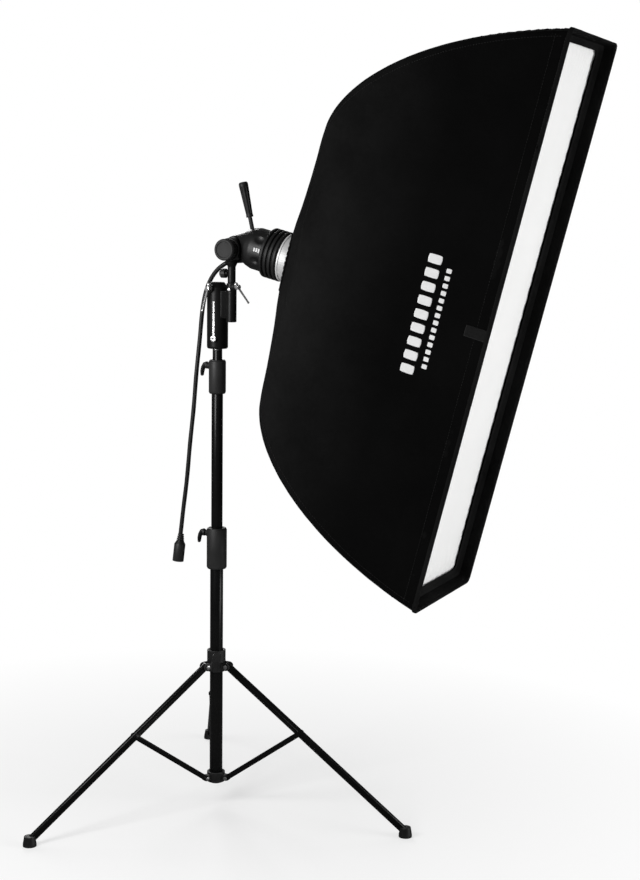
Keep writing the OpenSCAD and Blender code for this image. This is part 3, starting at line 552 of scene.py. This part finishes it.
def corner_line(node):
    """The outer corner line of a cloth tube, from its neck to its rim, as points (u, y, v)."""
    q = light_points(node)
    q = q[(q[:, 1] > 0) & (q[:, 2] > 0)]
    q = q[np.argsort(q[:, 0])]
    outward = q[:, 2] - q[:, 0]
    line = []
    for p, reach in zip(q, outward):
        near = np.linalg.norm(q - p, axis=1) < 4 * MM
        fresh = not line or np.linalg.norm(p - line[-1]) > 4 * MM
        if fresh and reach >= outward[near].max() - 0.05 * MM:
            line.append(p)
    return np.array(line)


PROFILE = smooth_path(corner_line("outer_shell"), ROWS)
PROFILE_S = arc_length(PROFILE)
NECK_U, RIM_U = PROFILE[0, 0], PROFILE[-1, 0]
RIM_Y, RIM_V = PROFILE[-1, 1], PROFILE[-1, 2]
FRONT_U = light_span("front_diffuser", 0)[0]


def spread(count, crowd=0.55):
    """Numbers from -1 to 1, closer together near both ends."""
    x = np.linspace(-1, 1, count)
    return (1 - crowd) * x + crowd * np.sin(x * math.pi / 2)


def panel_grid(long_side, side, columns):
    """A panel between two rods: (points, UVs, distance to the nearer rod), in the light's frame."""
    t = spread(columns)
    u = np.repeat(PROFILE[:, :1], columns, axis=1)
    y, v = PROFILE[:, 1:2], PROFILE[:, 2:3]
    if long_side:
        points = np.stack([u, side * y + 0 * t, t * v], axis=2)
        width = v
    else:
        points = np.stack([u, t * y, side * v + 0 * t], axis=2)
        width = y
    along = np.repeat(PROFILE_S[:, None], columns, axis=1)
    uvs = np.stack([along, t * width], axis=2)
    return points, uvs, (1 - np.abs(t)) * width


NECK_CORNER = 3 * MM
RIM_CORNER = 14 * MM


def corner_radius(u):
    """The cloth's corners are sharp at the neck and rounder where the rod tips push into the hood."""
    return NECK_CORNER + (RIM_CORNER - NECK_CORNER) * ease((u - NECK_U) / (RIM_U - NECK_U)) ** 2


def round_corners(points):
    """Panel points, with the square corners of each section turned into arcs."""
    u, y, v = points[..., 0], points[..., 1], points[..., 2]
    r = corner_radius(u)
    core_y = np.interp(u, PROFILE[:, 0], PROFILE[:, 1]) - r
    core_v = np.interp(u, PROFILE[:, 0], PROFILE[:, 2]) - r
    past_y, past_v = np.abs(y) - core_y, np.abs(v) - core_v
    reach = np.hypot(past_y, past_v)
    inside = (past_y > 0) & (past_v > 0)
    pull = np.where(inside, np.maximum(past_y, past_v) / np.maximum(reach, 1e-9), 1.0)
    y = np.where(inside, np.sign(y) * (core_y + past_y * pull), y)
    v = np.where(inside, np.sign(v) * (core_v + past_v * pull), v)
    return np.stack([u, y, v], axis=-1)


def outward(points, long_side, side):
    n = grid_normals(points)
    reference = np.array([0, side, 0]) if long_side else np.array([-0.3, 0, side])
    return n * np.sign((n @ reference)[..., None])


def cloth_relief(points, uvs, edge, long_side, sag):
    """How far each point of a stretched panel stands out from the straight surface."""
    s, x = uvs[..., 0], uvs[..., 1]
    length = s.max()
    span = np.abs(x).max(axis=1, keepdims=True)
    tension = np.sin(np.clip(s / length, 0, 1) * math.pi) ** 0.7
    dish = -sag * (1 - (x / span) ** 2) * tension
    puckers = 0.9 * MM * np.sin(2 * math.pi * s / (19 * MM) + 4 * rough(points, 9.0, 3.0))
    near_seam = edge / (7 * MM)
    seam = puckers * near_seam * np.exp(1 - near_seam)
    free = ease(edge / (25 * MM))
    broad = 1.8 * MM * rough(points, 7.0, 1.0) + 0.8 * MM * rough(points, 19.0, 2.0)
    reach = np.hypot(s + 0.05, x)
    turn = np.arctan2(x, s + 0.05)
    folds = np.sin(turn * (24 if long_side else 10) + 3 * rough(points, 5.0, 4.0))
    fan = 1.5 * MM * folds * np.exp(-reach / 0.26) * ease(s / 0.04)
    rim_side = (length - s) / (9 * MM)
    hem = 0.6 * MM * np.sin(2 * math.pi * x / (23 * MM) + 3 * rough(points, 8.0, 5.0))
    hem = hem * rim_side * np.exp(1 - rim_side)
    ends = ease(s / (12 * MM)) * ease((length - s) / (4 * MM))
    return dish * free + seam + (broad + fan) * free * ends + hem * free


SHELL_THICKNESS = 1.2 * MM
panels = {}
PANELS = [("near", True, -1, 190), ("far", True, 1, 190), ("top", False, 1, 70), ("bottom", False, -1, 70)]
for name, long_side, side, columns in PANELS:
    points, uvs, edge = panel_grid(long_side, side, columns)
    points = round_corners(points)
    normals = outward(points, long_side, side)
    sag = (7 if long_side else 3) * MM
    relief = cloth_relief(points, uvs, edge, long_side, sag)
    points = points + normals * relief[..., None]
    panels[name] = (points, outward(points, long_side, side))
    faces = grid_faces(ROWS, columns, flip=(side < 0) == long_side)
    obj = make_piece("shell_" + name, place(points), faces, M["shell"], SOFTBOX, uvs)
    thicken(obj, SHELL_THICKNESS)
    if name == "near":
        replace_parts(obj, "outer_shell")


def on_panel(name, u, across, lift=0.0):
    """Points (u, y, v) on a finished panel, at distances u along the light and across the panel."""
    points, normals = panels[name]
    u, across = np.broadcast_arrays(np.asarray(u, float), np.asarray(across, float))
    row = np.interp(u, PROFILE[:, 0], np.arange(ROWS))
    i = np.clip(row.astype(int), 0, ROWS - 2)
    f = (row - i)[..., None]
    span = np.interp(u, PROFILE[:, 0], PROFILE[:, 2 if name in ("near", "far") else 1])
    columns = points.shape[1]
    column = np.interp(across / span, spread(columns), np.arange(columns))
    j = np.clip(column.astype(int), 0, columns - 2)
    g = (column - j)[..., None]

    def sample(a):
        return ((1 - f) * ((1 - g) * a[i, j] + g * a[i, j + 1])
                + f * ((1 - g) * a[i + 1, j] + g * a[i + 1, j + 1]))

    n = sample(normals)
    return sample(points) + lift * n, n


def patch(name, body_name, material, panel, u_span, v_span, lift, cells, thickness, corner=0.0):
    """A small sheet lying on a panel; corner runs from 0 for square corners to 1 for a full oval."""
    rows, columns = cells
    a = np.linspace(-1, 1, rows)[:, None] + np.zeros((1, columns))
    b = np.zeros((rows, 1)) + np.linspace(-1, 1, columns)[None, :]
    u_half, v_half = (u_span[1] - u_span[0]) / 2, (v_span[1] - v_span[0]) / 2
    u = sum(u_span) / 2 + u_half * a * np.sqrt(1 - corner * b**2 / 2)
    v = sum(v_span) / 2 + v_half * b * np.sqrt(1 - corner * a**2 / 2)
    points, _ = on_panel(panel, u, v, lift)
    obj = make_piece(name, place(points), grid_faces(rows, columns, flip=True), material, body_name,
                     np.stack([u, v], axis=2))
    return thicken(obj, thickness)


# Corner piping and its stitch rows.
SEAM_INSET = 16 * MM
STITCH_PITCH, STITCH_LENGTH, THREAD_RADIUS = 6 * MM, 4 * MM, 0.35 * MM
piping, threads = [], []
for name, side in (("near", -1), ("far", 1)):
    for end in (-1, 1):
        line = round_corners(PROFILE * np.array([1, side, end]))
        wobble = 0.25 * MM * rough(line, 60.0, side + 2.0 * end)
        line = line + wobble[:, None] * np.array([0, side, end])
        piping.append(swept(place(line), 1.9 * MM, SIDE, sides=10))
        for panel, edge_y in ((name, True), ("top" if end > 0 else "bottom", False)):
            reach = (PROFILE[:, 2] if edge_y else PROFILE[:, 1]) - SEAM_INSET
            across = reach * (end if edge_y else side)
            points, normals = on_panel(panel, PROFILE[:, 0], across, 0.1 * MM)
            threads.append(stitches(place(points[2:-2]), place(normals[2:-2]) - ORIGIN,
                                    STITCH_PITCH, STITCH_LENGTH, THREAD_RADIUS))
verts, faces = merge(piping)
make_piece("corner_piping", verts, faces, M["tape"], SOFTBOX, verts[:, [0, 2]])

# Stitch rows round the outside of the hood: where the lip is sewn in, and along the rim.
HEM_U = FRONT_U + 5 * MM
for u in (HEM_U, RIM_U - 9 * MM):
    for panel, reach in (("near", RIM_V), ("far", RIM_V), ("top", RIM_Y), ("bottom", RIM_Y)):
        across = np.linspace(-1, 1, 200) * (reach - 12 * MM)
        points, normals = on_panel(panel, u, across, 0.1 * MM)
        threads.append(stitches(place(points), place(normals) - ORIGIN,
                                STITCH_PITCH, STITCH_LENGTH, THREAD_RADIUS))
verts, faces = merge(threads)
make_piece("seam_thread", verts, faces, M["thread"], SOFTBOX)


def loop_at(half_y, half_v, radius, count_corner=6, count_y=40, count_v=120):
    """A rounded rectangle round the light's axis as points (y, v), starting at its near top."""
    points = []
    corners = [(1, 1), (1, -1), (-1, -1), (-1, 1)]
    for k, (cy, cv) in enumerate(corners):
        centre = np.array([cy * (half_y - radius), cv * (half_v - radius)])
        start = math.pi / 2 - k * math.pi / 2
        for step in range(count_corner):
            angle = start - (math.pi / 2) * step / (count_corner - 1)
            points.append(centre + radius * np.array([math.cos(angle), math.sin(angle)]))
        count = count_v if k in (0, 2) else count_y
        following = corners[(k + 1) % 4]
        end_centre = np.array([following[0] * (half_y - radius), following[1] * (half_v - radius)])
        end_angle = start - math.pi / 2
        tangent = radius * np.array([math.cos(end_angle), math.sin(end_angle)])
        for f in np.linspace(0, 1, count, endpoint=False)[1:]:
            points.append((1 - f) * (centre + tangent) + f * (end_centre + tangent))
    return np.array(points)


def band(name, stations, material, corner, wobble=0.0, closed=False, thickness=0.0, seed=0.0):
    """A band round the softbox through stations (u, half y, half v)."""
    rings = []
    for u, half_y, half_v in stations:
        loop = loop_at(half_y, half_v, corner)
        ring = np.column_stack([np.full(len(loop), u), loop])
        if wobble:
            shake = wobble * rough(ring, 45.0, seed)
            out = ring * np.array([0, 1, 1]) / np.array([1, half_y, half_v])
            ring = ring + shake[:, None] * np.sign(out) * (np.abs(out) > 0.97)
        rings.append(ring)
    grid = np.array(rings)
    rows, columns = grid.shape[:2]
    around = arc_length(np.vstack([grid[0], grid[0][:1]]))[:-1]
    across = arc_length(np.array(stations))
    uvs = np.stack([np.repeat(across[:, None], columns, 1), np.repeat(around[None], rows, 0)], axis=2)
    faces = grid_faces(rows, columns, wrap=True, flip=True)
    if closed:
        last = (rows - 1) * columns
        for j in range(columns):
            k = (j + 1) % columns
            faces.append((j, k, last + k, last + j))
    obj = make_piece(name, place(grid), faces, material, SOFTBOX, uvs)
    if thickness:
        thicken(obj, thickness)
    return obj


# Binding tape folded over the rim.
BINDING = 9 * MM
outline = [(-BINDING, 0.2 * MM), (-BINDING + 1 * MM, 1.0 * MM), (-2 * MM, 1.1 * MM), (-0.5 * MM, 0.7 * MM),
           (0.3 * MM, -0.3 * MM), (0.5 * MM, -1.6 * MM), (0, -2.9 * MM), (-1.5 * MM, -3.5 * MM),
           (-BINDING + 1 * MM, -3.4 * MM), (-BINDING, -2.6 * MM)]
band("rim_binding", [(RIM_U + du, RIM_Y + dn, RIM_V + dn) for du, dn in outline], M["tape"],
     RIM_CORNER, wobble=0.3 * MM, closed=True, seed=6.0)

# Inside faces of the hood, from the rim back to the diffuser.
lip_inset = 3.2 * MM
slope_y = (PROFILE[-1, 1] - PROFILE[-12, 1]) / (PROFILE[-1, 0] - PROFILE[-12, 0])
slope_v = (PROFILE[-1, 2] - PROFILE[-12, 2]) / (PROFILE[-1, 0] - PROFILE[-12, 0])


def hood(u, inset):
    back = RIM_U - u
    return u, RIM_Y - slope_y * back - inset, RIM_V - slope_v * back - inset


lip_stations = [hood(u, lip_inset + 0.5 * MM * math.sin(9 * u / (RIM_U - FRONT_U)))
                for u in np.linspace(RIM_U - 4 * MM, FRONT_U + 2 * MM, 9)]
lip = band("front_lip_cloth", lip_stations, M["lip"], 11 * MM, wobble=0.8 * MM, thickness=0.8 * MM, seed=8.0)
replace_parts(lip, "front_lip")

# Elastic hem that holds the diffuser to the lip.
HEM = [(11, 4.2), (10, 5.4), (5, 6.2), (2.2, 8.5), (1.2, 12), (0.6, 15.5)]
hem_stations = [hood(FRONT_U + forward * MM, inset * MM) for forward, inset in HEM]
band("diffuser_hem", hem_stations, M["hem"], 10 * MM, wobble=0.6 * MM, thickness=0.5 * MM, seed=9.0)


# ---------- Diffuser ----------

def sheet(name, u, half_y, half_v, material, relief, cells, thickness):
    """A flat sheet across the light with relief(y, v) added along the light."""
    rows, columns = cells
    y = np.repeat(spread(rows, 0.8)[:, None] * half_y, columns, 1)
    v = np.repeat(spread(columns, 0.8)[None] * half_v, rows, 0)
    grid = np.stack([np.full_like(y, u), y, v], axis=2)
    grid[..., 0] += relief(y, v)
    obj = make_piece(name, place(grid), grid_faces(rows, columns), material, SOFTBOX, np.stack([y, v], 2))
    return thicken(obj, thickness)


DIFFUSER_U = FRONT_U - 3.5 * MM
_, dif_y, dif_v = hood(DIFFUSER_U, 6.0 * MM)


def diffuser_relief(y, v):
    """Gathers run in from the ends of the hem; the sheet rolls back at its edges and dips in the middle."""
    dip = -4 * MM * (1 - (y / dif_y) ** 2) * (1 - (v / dif_v) ** 2)
    flat = np.stack([y, v, 0 * y], axis=2)
    from_side = dif_y - np.abs(y)
    from_end = dif_v - np.abs(v)
    along_side = np.sin(2 * math.pi * v / (31 * MM) + 6 * rough(flat, 6.0, 11.0))
    along_end = np.sin(2 * math.pi * y / (23 * MM) + 7 * rough(flat, 12.0, 12.0))
    side = 0.6 * MM * along_side * np.exp(-from_side / (16 * MM))
    inward = from_end / (20 * MM)
    end = 2.2 * MM * along_end * inward * np.exp(1 - inward)
    roll = 3 * MM * np.exp(-from_side / (14 * MM)) + 2 * MM * np.exp(-from_end / (16 * MM))
    soft = 1.2 * MM * rough(flat, 8.0, 13.0)
    return dip + side + end - roll + soft * ease(np.minimum(from_side, from_end) / (20 * MM))


diffuser = sheet("diffuser_sheet", DIFFUSER_U, dif_y, dif_v, M["white"], diffuser_relief,
                 (90, 300), 0.5 * MM)
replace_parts(diffuser, "front_diffuser")

baffle_u = sum(light_span("inner_baffle", 0)) / 2
baffle_y = light_span("inner_baffle", 1)[1]
baffle_v = light_span("inner_baffle", 2)[1]


def baffle_relief(y, v):
    scallop = (y / baffle_y) ** 2 * (v / baffle_v) ** 2
    flat = np.stack([y, v, 0 * y], axis=2)
    return 4 * MM * scallop + 3 * MM * rough(flat, 5.0, 14.0)


baffle = sheet("baffle_sheet", baffle_u, baffle_y, baffle_v, M["baffle"], baffle_relief, (24, 80), 0.5 * MM)
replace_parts(baffle, "inner_baffle")


# ---------- Patch and print on the near side ----------

patch_u = light_span("touch_patch", 0)
patch_v = light_span("touch_patch", 2)
loop_patch = patch("touch_tape", SOFTBOX, M["hook"], "near", patch_u, patch_v, 1.2 * MM, (24, 12), 1.1 * MM,
                   0.05)
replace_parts(loop_patch, "touch_patch")

# Two rows of plain printed blocks: length along the light, count and height of the blocks.
label_u = light_span("side_label", 0)
label_v = light_span("side_label", 2)
LABEL_ROWS = [(label_u[0], 32 * MM, 9, 19 * MM), (label_u[1] - 12 * MM, 12 * MM, 14, 9.5 * MM)]
LABEL_PITCH = (29 * MM, 15.5 * MM)
for row, (low_u, length, count, height) in enumerate(LABEL_ROWS):
    for k in range(count):
        centre = sum(label_v) / 2 + (k - (count - 1) / 2) * LABEL_PITCH[row]
        block = patch("label_block_%d_%d" % (row + 1, k + 1), SOFTBOX, M["print"], "near",
                      (low_u, low_u + length), (centre - height / 2, centre + height / 2),
                      0.3 * MM, (14, 14), 0.3 * MM, 0.35)
        if row + k == 0:
            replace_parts(block, "side_label")


# ---------- Neck, lining and straps ----------

def neck_sleeve():
    """Gathered cloth from the shell's square opening down to the round speed ring."""
    rows, columns = 26, 240
    ring_radius = 55 * MM
    angle = np.linspace(0, 2 * math.pi, columns, endpoint=False)
    direction = np.stack([np.cos(angle), np.sin(angle)], axis=1)
    half = np.array([PROFILE[0, 1], PROFILE[0, 2]]) + 0.5 * MM
    square = direction * np.min(half / np.maximum(np.abs(direction), 1e-9), axis=1)[:, None]
    rings = []
    for f in np.linspace(0, 1, rows):
        blend = ease(f)
        yv = (1 - blend) * square + blend * ring_radius * direction
        u = NECK_U + 2 * MM - 9 * MM * math.sin(f * math.pi * 0.55) + 0 * angle
        gather = math.sin(math.pi * f) ** 0.8
        pleat = 0.8 * MM * gather * np.sin(44 * angle + 2 * np.sin(3 * angle))
        rings.append(np.column_stack([u - pleat, yv]))
    grid = np.array(rings)
    uvs = np.stack([np.repeat(np.linspace(0, 0.05, rows)[:, None], columns, 1),
                    np.repeat(angle[None] * 0.06, rows, 0)], axis=2)
    obj = make_piece("neck_sleeve", place(grid), grid_faces(rows, columns, wrap=True), M["shell"],
                     SOFTBOX, uvs)
    thicken(obj, 0.8 * MM)
    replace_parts(obj, "neck_binding")
    cuff = np.column_stack([np.full(columns, NECK_U - 6.5 * MM), (ring_radius + 0.5 * MM) * direction])
    cuff = np.vstack([cuff, cuff[:2]])
    verts, faces = swept(place(cuff), 2.2 * MM, AXIS, sides=10)
    make_piece("neck_cuff", verts, faces, M["tape"], SOFTBOX, verts[:, [1, 2]])


neck_sleeve()

LINING_GAP = 3.5 * MM
lining_rows = (PROFILE[:, 0] > NECK_U + 12 * MM) & (PROFILE[:, 0] < FRONT_U - 2 * MM)
for name, long_side, side, columns in PANELS:
    columns = columns // 3
    u = np.repeat(PROFILE[lining_rows, :1], columns, axis=1)
    width = PROFILE[lining_rows][:, [2 if long_side else 1]] - LINING_GAP - 1 * MM
    across = spread(columns) * width
    points, _ = on_panel(name, u, across, -LINING_GAP)
    along = np.repeat(PROFILE_S[lining_rows, None], columns, axis=1)
    obj = make_piece("lining_" + name, place(points), grid_faces(len(u), columns), M["lining"], SOFTBOX,
                     np.stack([along, across], axis=2))
    thicken(obj, 0.3 * MM, 0.0)
    if name == "near":
        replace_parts(obj, "silver_lining")


def webbing(path, width_dir, width, thickness):
    """(vertices, faces) of a flat strap along a path, with soft edges."""
    path = np.asarray(path, float)
    across = unit(width_dir)
    t = np.gradient(path, axis=0)
    t /= np.linalg.norm(t, axis=1, keepdims=True)
    flat = np.cross(t, across)
    shape = [(-0.5, 0), (-0.46, 0.5), (0, 0.5), (0.46, 0.5), (0.5, 0), (0.46, -0.5), (0, -0.5), (-0.46, -0.5)]
    verts = np.array([[p + a * width * across + b * thickness * n for a, b in shape]
                      for p, n in zip(path, flat)])
    faces = grid_faces(len(path), len(shape), wrap=True)
    last = (len(path) - 1) * len(shape)
    faces.append(tuple(range(len(shape) - 1, -1, -1)))
    faces.append(tuple(last + k for k in range(len(shape))))
    return verts.reshape(-1, 3), faces


def corner_copies():
    return [(side, end) for side in (-1, 1) for end in (-1, 1)]


strap_points = light_points("baffle_straps")
strap_points = strap_points[(strap_points[:, 1] > 0) & (strap_points[:, 2] > 0)]
strap_low = strap_points[np.argmin(strap_points[:, 2])]
strap_high = strap_points[np.argmax(strap_points[:, 2])]
parts = []
for side, end in corner_copies():
    flip = np.array([1, side, end])
    f = np.linspace(0, 1, 14)[:, None]
    line = (1 - f) * strap_low + f * strap_high
    line = line + np.array([1, 0, 0]) * (2.0 * MM * np.sin(f * math.pi)) * 0.6
    parts.append(webbing(place(line * flip), SIDE, 12 * MM, 1.4 * MM))
verts, faces = merge(parts)
straps = make_piece("baffle_strap_webbing", verts, faces, M["tape"], SOFTBOX, verts[:, [1, 2]])
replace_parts(straps, "baffle_straps")


def tip_pockets():
    """Folded cloth pockets at the rods' tips: a flattened sleeve sewn shut at its front end."""
    q = light_points("corner_pockets")
    q = q[(q[:, 1] > 0) & (q[:, 2] > 0)]
    low, high = q.min(axis=0), q.max(axis=0)
    centre = (low + high) / 2
    half = (high - low) / 2
    rows, columns = 12, 20
    angle = np.linspace(0, 2 * math.pi, columns, endpoint=False)
    parts = []
    for side, end in corner_copies():
        rings = []
        for f in np.linspace(0, 1, rows):
            shut = 1 - 0.75 * ease((f - 0.6) / 0.4)
            y = np.sign(np.cos(angle)) * np.abs(np.cos(angle)) ** 0.6 * half[1]
            v = np.sign(np.sin(angle)) * np.abs(np.sin(angle)) ** 0.6 * half[2] * shut
            u = low[0] + f * (high[0] - low[0]) + 0 * angle
            crease = 0.5 * MM * np.sin(5 * angle + 9 * f)
            ring = np.column_stack([u, centre[1] + y + crease, centre[2] + v])
            rings.append(ring * np.array([1, side, end]))
        grid = place(np.array(rings)).reshape(-1, 3)
        faces = grid_faces(rows, columns, wrap=True, flip=side * end < 0)
        last = (rows - 1) * columns
        faces.append(tuple(last + k for k in range(columns)))
        parts.append((grid, faces))
    verts, faces = merge(parts)
    obj = make_piece("rod_tip_pockets", verts, faces, M["tape"], SOFTBOX, verts[:, [0, 2]])
    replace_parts(thicken(obj, 0.8 * MM), "corner_pockets")


tip_pockets()


# ---------- Mains lead and the marks on the barrel ----------

def lead_course():
    """The lead's centre line, top to foot: a running mean of the CAD bar's own points.

    The bar's rings are close together in its upper bend and far apart below it.
    """
    q = np.array([v.co for v in NODES["power_cable"].data.vertices], float)
    key = q @ -unit([1, 0, 1])
    start, end = key.min() + 10 * MM, key.max() - 40 * MM
    course = []
    for share in np.linspace(0, 1, 40) ** 1.5:
        level = start + share * (end - start)
        window = 11 * MM + 45 * MM * ease(share * 2)
        weight = np.exp(-((key - level) / window) ** 2)
        course.append(weight @ q / weight.sum())
    course = np.array(course)
    top = course[0] + unit(course[0] - course[1]) * 9 * MM
    plug_top = np.mean(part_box("cable_plug"), axis=0)
    return smooth_path(np.vstack([top, course[:-3], plug_top]), 160)


def lead():
    """The mains lead: fine rings in its sheath and a slight unevenness where it has been coiled.
    """
    course = lead_course()
    radius = 5 * MM
    s = arc_length(course)
    wave = 0.8 * MM * np.sin(2 * math.pi * s / 0.16) * ease(s / 0.2) * ease((s[-1] - s) / 0.1)
    course = course + wave[:, None] * SIDE
    verts, faces = swept(course, radius * (1 + 0.015 * np.sin(s / 0.011)), SIDE, sides=20)
    obj = make_piece("mains_lead", verts, faces, M["cable"], None)
    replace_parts(obj, "power_cable")
    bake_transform(obj)


def scale_marks():
    """Three small white marks on the scale, each a thin tile bent round the barrel."""
    u_low, u_high = light_span("scale_plate", 0)
    q = light_points("scale_plate")
    radius = np.hypot(q[:, 1], q[:, 2]).max() + 0.15 * MM
    middle = np.mean(np.arctan2(q[:, 2], -q[:, 1]))
    parts = []
    width = (u_high - u_low) * 0.24
    for k, half_height in ((-1, 4.0 * MM), (0, 4.3 * MM), (1, 4.6 * MM)):
        u = np.linspace(-width / 2, width / 2, 4)[:, None] + (u_low + u_high) / 2 + k * width * 1.35
        angle = middle + np.linspace(-1, 1, 8)[None, :] * half_height / radius
        grid = np.stack([u + 0 * angle, -radius * np.cos(angle) + 0 * u, radius * np.sin(angle) + 0 * u],
                        axis=2)
        parts.append((place(grid), grid_faces(4, 8, flip=True)))
    verts, faces = merge(parts)
    thicken(make_piece("scale_marks", verts, faces, M["print"], "head", verts[:, [0, 2]]), 0.2 * MM)


lead()
scale_marks()


# ---------- Floor, light and camera ----------

FLOOR_SIZE = 60.0


def stage():
    """A pale floor that fades into the white of the studio away from the stand."""
    bpy.ops.mesh.primitive_plane_add(size=FLOOR_SIZE, location=(0, 0, -0.5 * MM))
    floor = bpy.context.object
    floor.name = "floor"
    s = Shader("pale_floor")
    at = s.coords()
    mottle = s.noise(at, 0.8, 3.0)
    rays = s.node("LightPath")
    pale = s.mix(s.ramp(mottle, 0, 1), grey(0.86), grey(0.9))
    # Seen in reflections the floor is painted dark grey (0.12): a painted shade in its reflection on the
    # stand's tubes and fittings.
    s.finish(Base_Color=s.mix(rays.outputs["Is Glossy Ray"], pale, grey(0.12)), Roughness=0.8,
             Specular_IOR_Level=0.1)
    distance = s.node("VectorMath", {"operation": "LENGTH"}, Vector=at).outputs["Value"]
    white = s.node("Emission", Color=grey(1.0), Strength=1.0)
    share = s.maths("MULTIPLY", rays.outputs["Is Camera Ray"], s.ramp(distance, 0.5, 1.0, 0.3, 1.4))
    both = s.node("MixShader", Fac=share)
    s.tree.links.new(s.bsdf.outputs[0], both.inputs[1])
    s.tree.links.new(white.outputs[0], both.inputs[2])
    s.tree.links.new(both.outputs[0], s.output.inputs["Surface"])
    floor.data.materials.append(s.material)


FILL_LIGHT = 0.3
GLOSS_LIGHT = 0.1


def add_area(name, location, target, size, power):
    data = bpy.data.lights.new(name, "AREA")
    data.shape = "RECTANGLE"
    data.size, data.size_y = size
    data.energy = power
    obj = bpy.data.objects.new(name, data)
    bpy.context.scene.collection.objects.link(obj)
    obj.location = location
    obj.rotation_euler = (Vector(target) - Vector(location)).to_track_quat("-Z", "Y").to_euler()
    return obj


def lights():
    """A white backdrop for the camera, a weaker dome for fill, and three large soft lights."""
    world = bpy.data.worlds.new("studio")
    bpy.context.scene.world = world
    world.use_nodes = True
    tree = world.node_tree
    rays = tree.nodes.new("ShaderNodeLightPath")
    background = tree.nodes["Background"]
    background.inputs["Color"].default_value = (1, 1, 1, 1)
    strength = FILL_LIGHT
    for ray, level in (("Is Glossy Ray", GLOSS_LIGHT), ("Is Camera Ray", 1.0)):
        blend = tree.nodes.new("ShaderNodeMix")
        tree.links.new(rays.outputs[ray], blend.inputs["Factor"])
        if isinstance(strength, float):
            blend.inputs["A"].default_value = strength
        else:
            tree.links.new(strength, blend.inputs["A"])
        blend.inputs["B"].default_value = level
        strength = blend.outputs["Result"]
    tree.links.new(strength, background.inputs["Strength"])
    side_panel = tuple(place([0.3, -RIM_Y, 0.0]))
    front = tuple(place([RIM_U, 0.0, 0.0]))
    add_area("key", (-0.5, -1.5, 1.5), side_panel, (0.7, 0.9), 26)
    add_area("front", (3.0, 0.3, 1.0), front, (1.4, 1.8), 45)
    add_area("rim", (-1.8, 2.2, 2.3), (0, 0, 1.2), (0.8, 2.0), 40)


CAMERA_PLACE = (1.758, -3.306, 1.392)
CAMERA_AZIMUTH = math.radians(24.4)
CAMERA_PITCH = math.radians(8.0)
CAMERA_ROLL = math.radians(0.7)
CAMERA_LENS = 67.5


def camera():
    """A camera that looks along the compass heading and slope of the reference view."""
    data = bpy.data.cameras.new("camera")
    data.lens = CAMERA_LENS
    data.clip_end = 200
    obj = bpy.data.objects.new("camera", data)
    bpy.context.scene.collection.objects.link(obj)
    level = math.cos(CAMERA_PITCH)
    ahead = Vector((-math.sin(CAMERA_AZIMUTH) * level, math.cos(CAMERA_AZIMUTH) * level,
                    -math.sin(CAMERA_PITCH)))
    right = ahead.cross(Vector((0, 0, 1))).normalized()
    up = right.cross(ahead)
    tilted_right = math.cos(CAMERA_ROLL) * right + math.sin(CAMERA_ROLL) * up
    tilted_up = math.cos(CAMERA_ROLL) * up - math.sin(CAMERA_ROLL) * right
    turn = Matrix((tilted_right, tilted_up, -ahead)).transposed()
    obj.matrix_world = Matrix.Translation(CAMERA_PLACE) @ turn.to_4x4()
    bpy.context.scene.camera = obj


stage()
lights()
camera()
bpy.context.scene.view_settings.view_transform = "Standard"
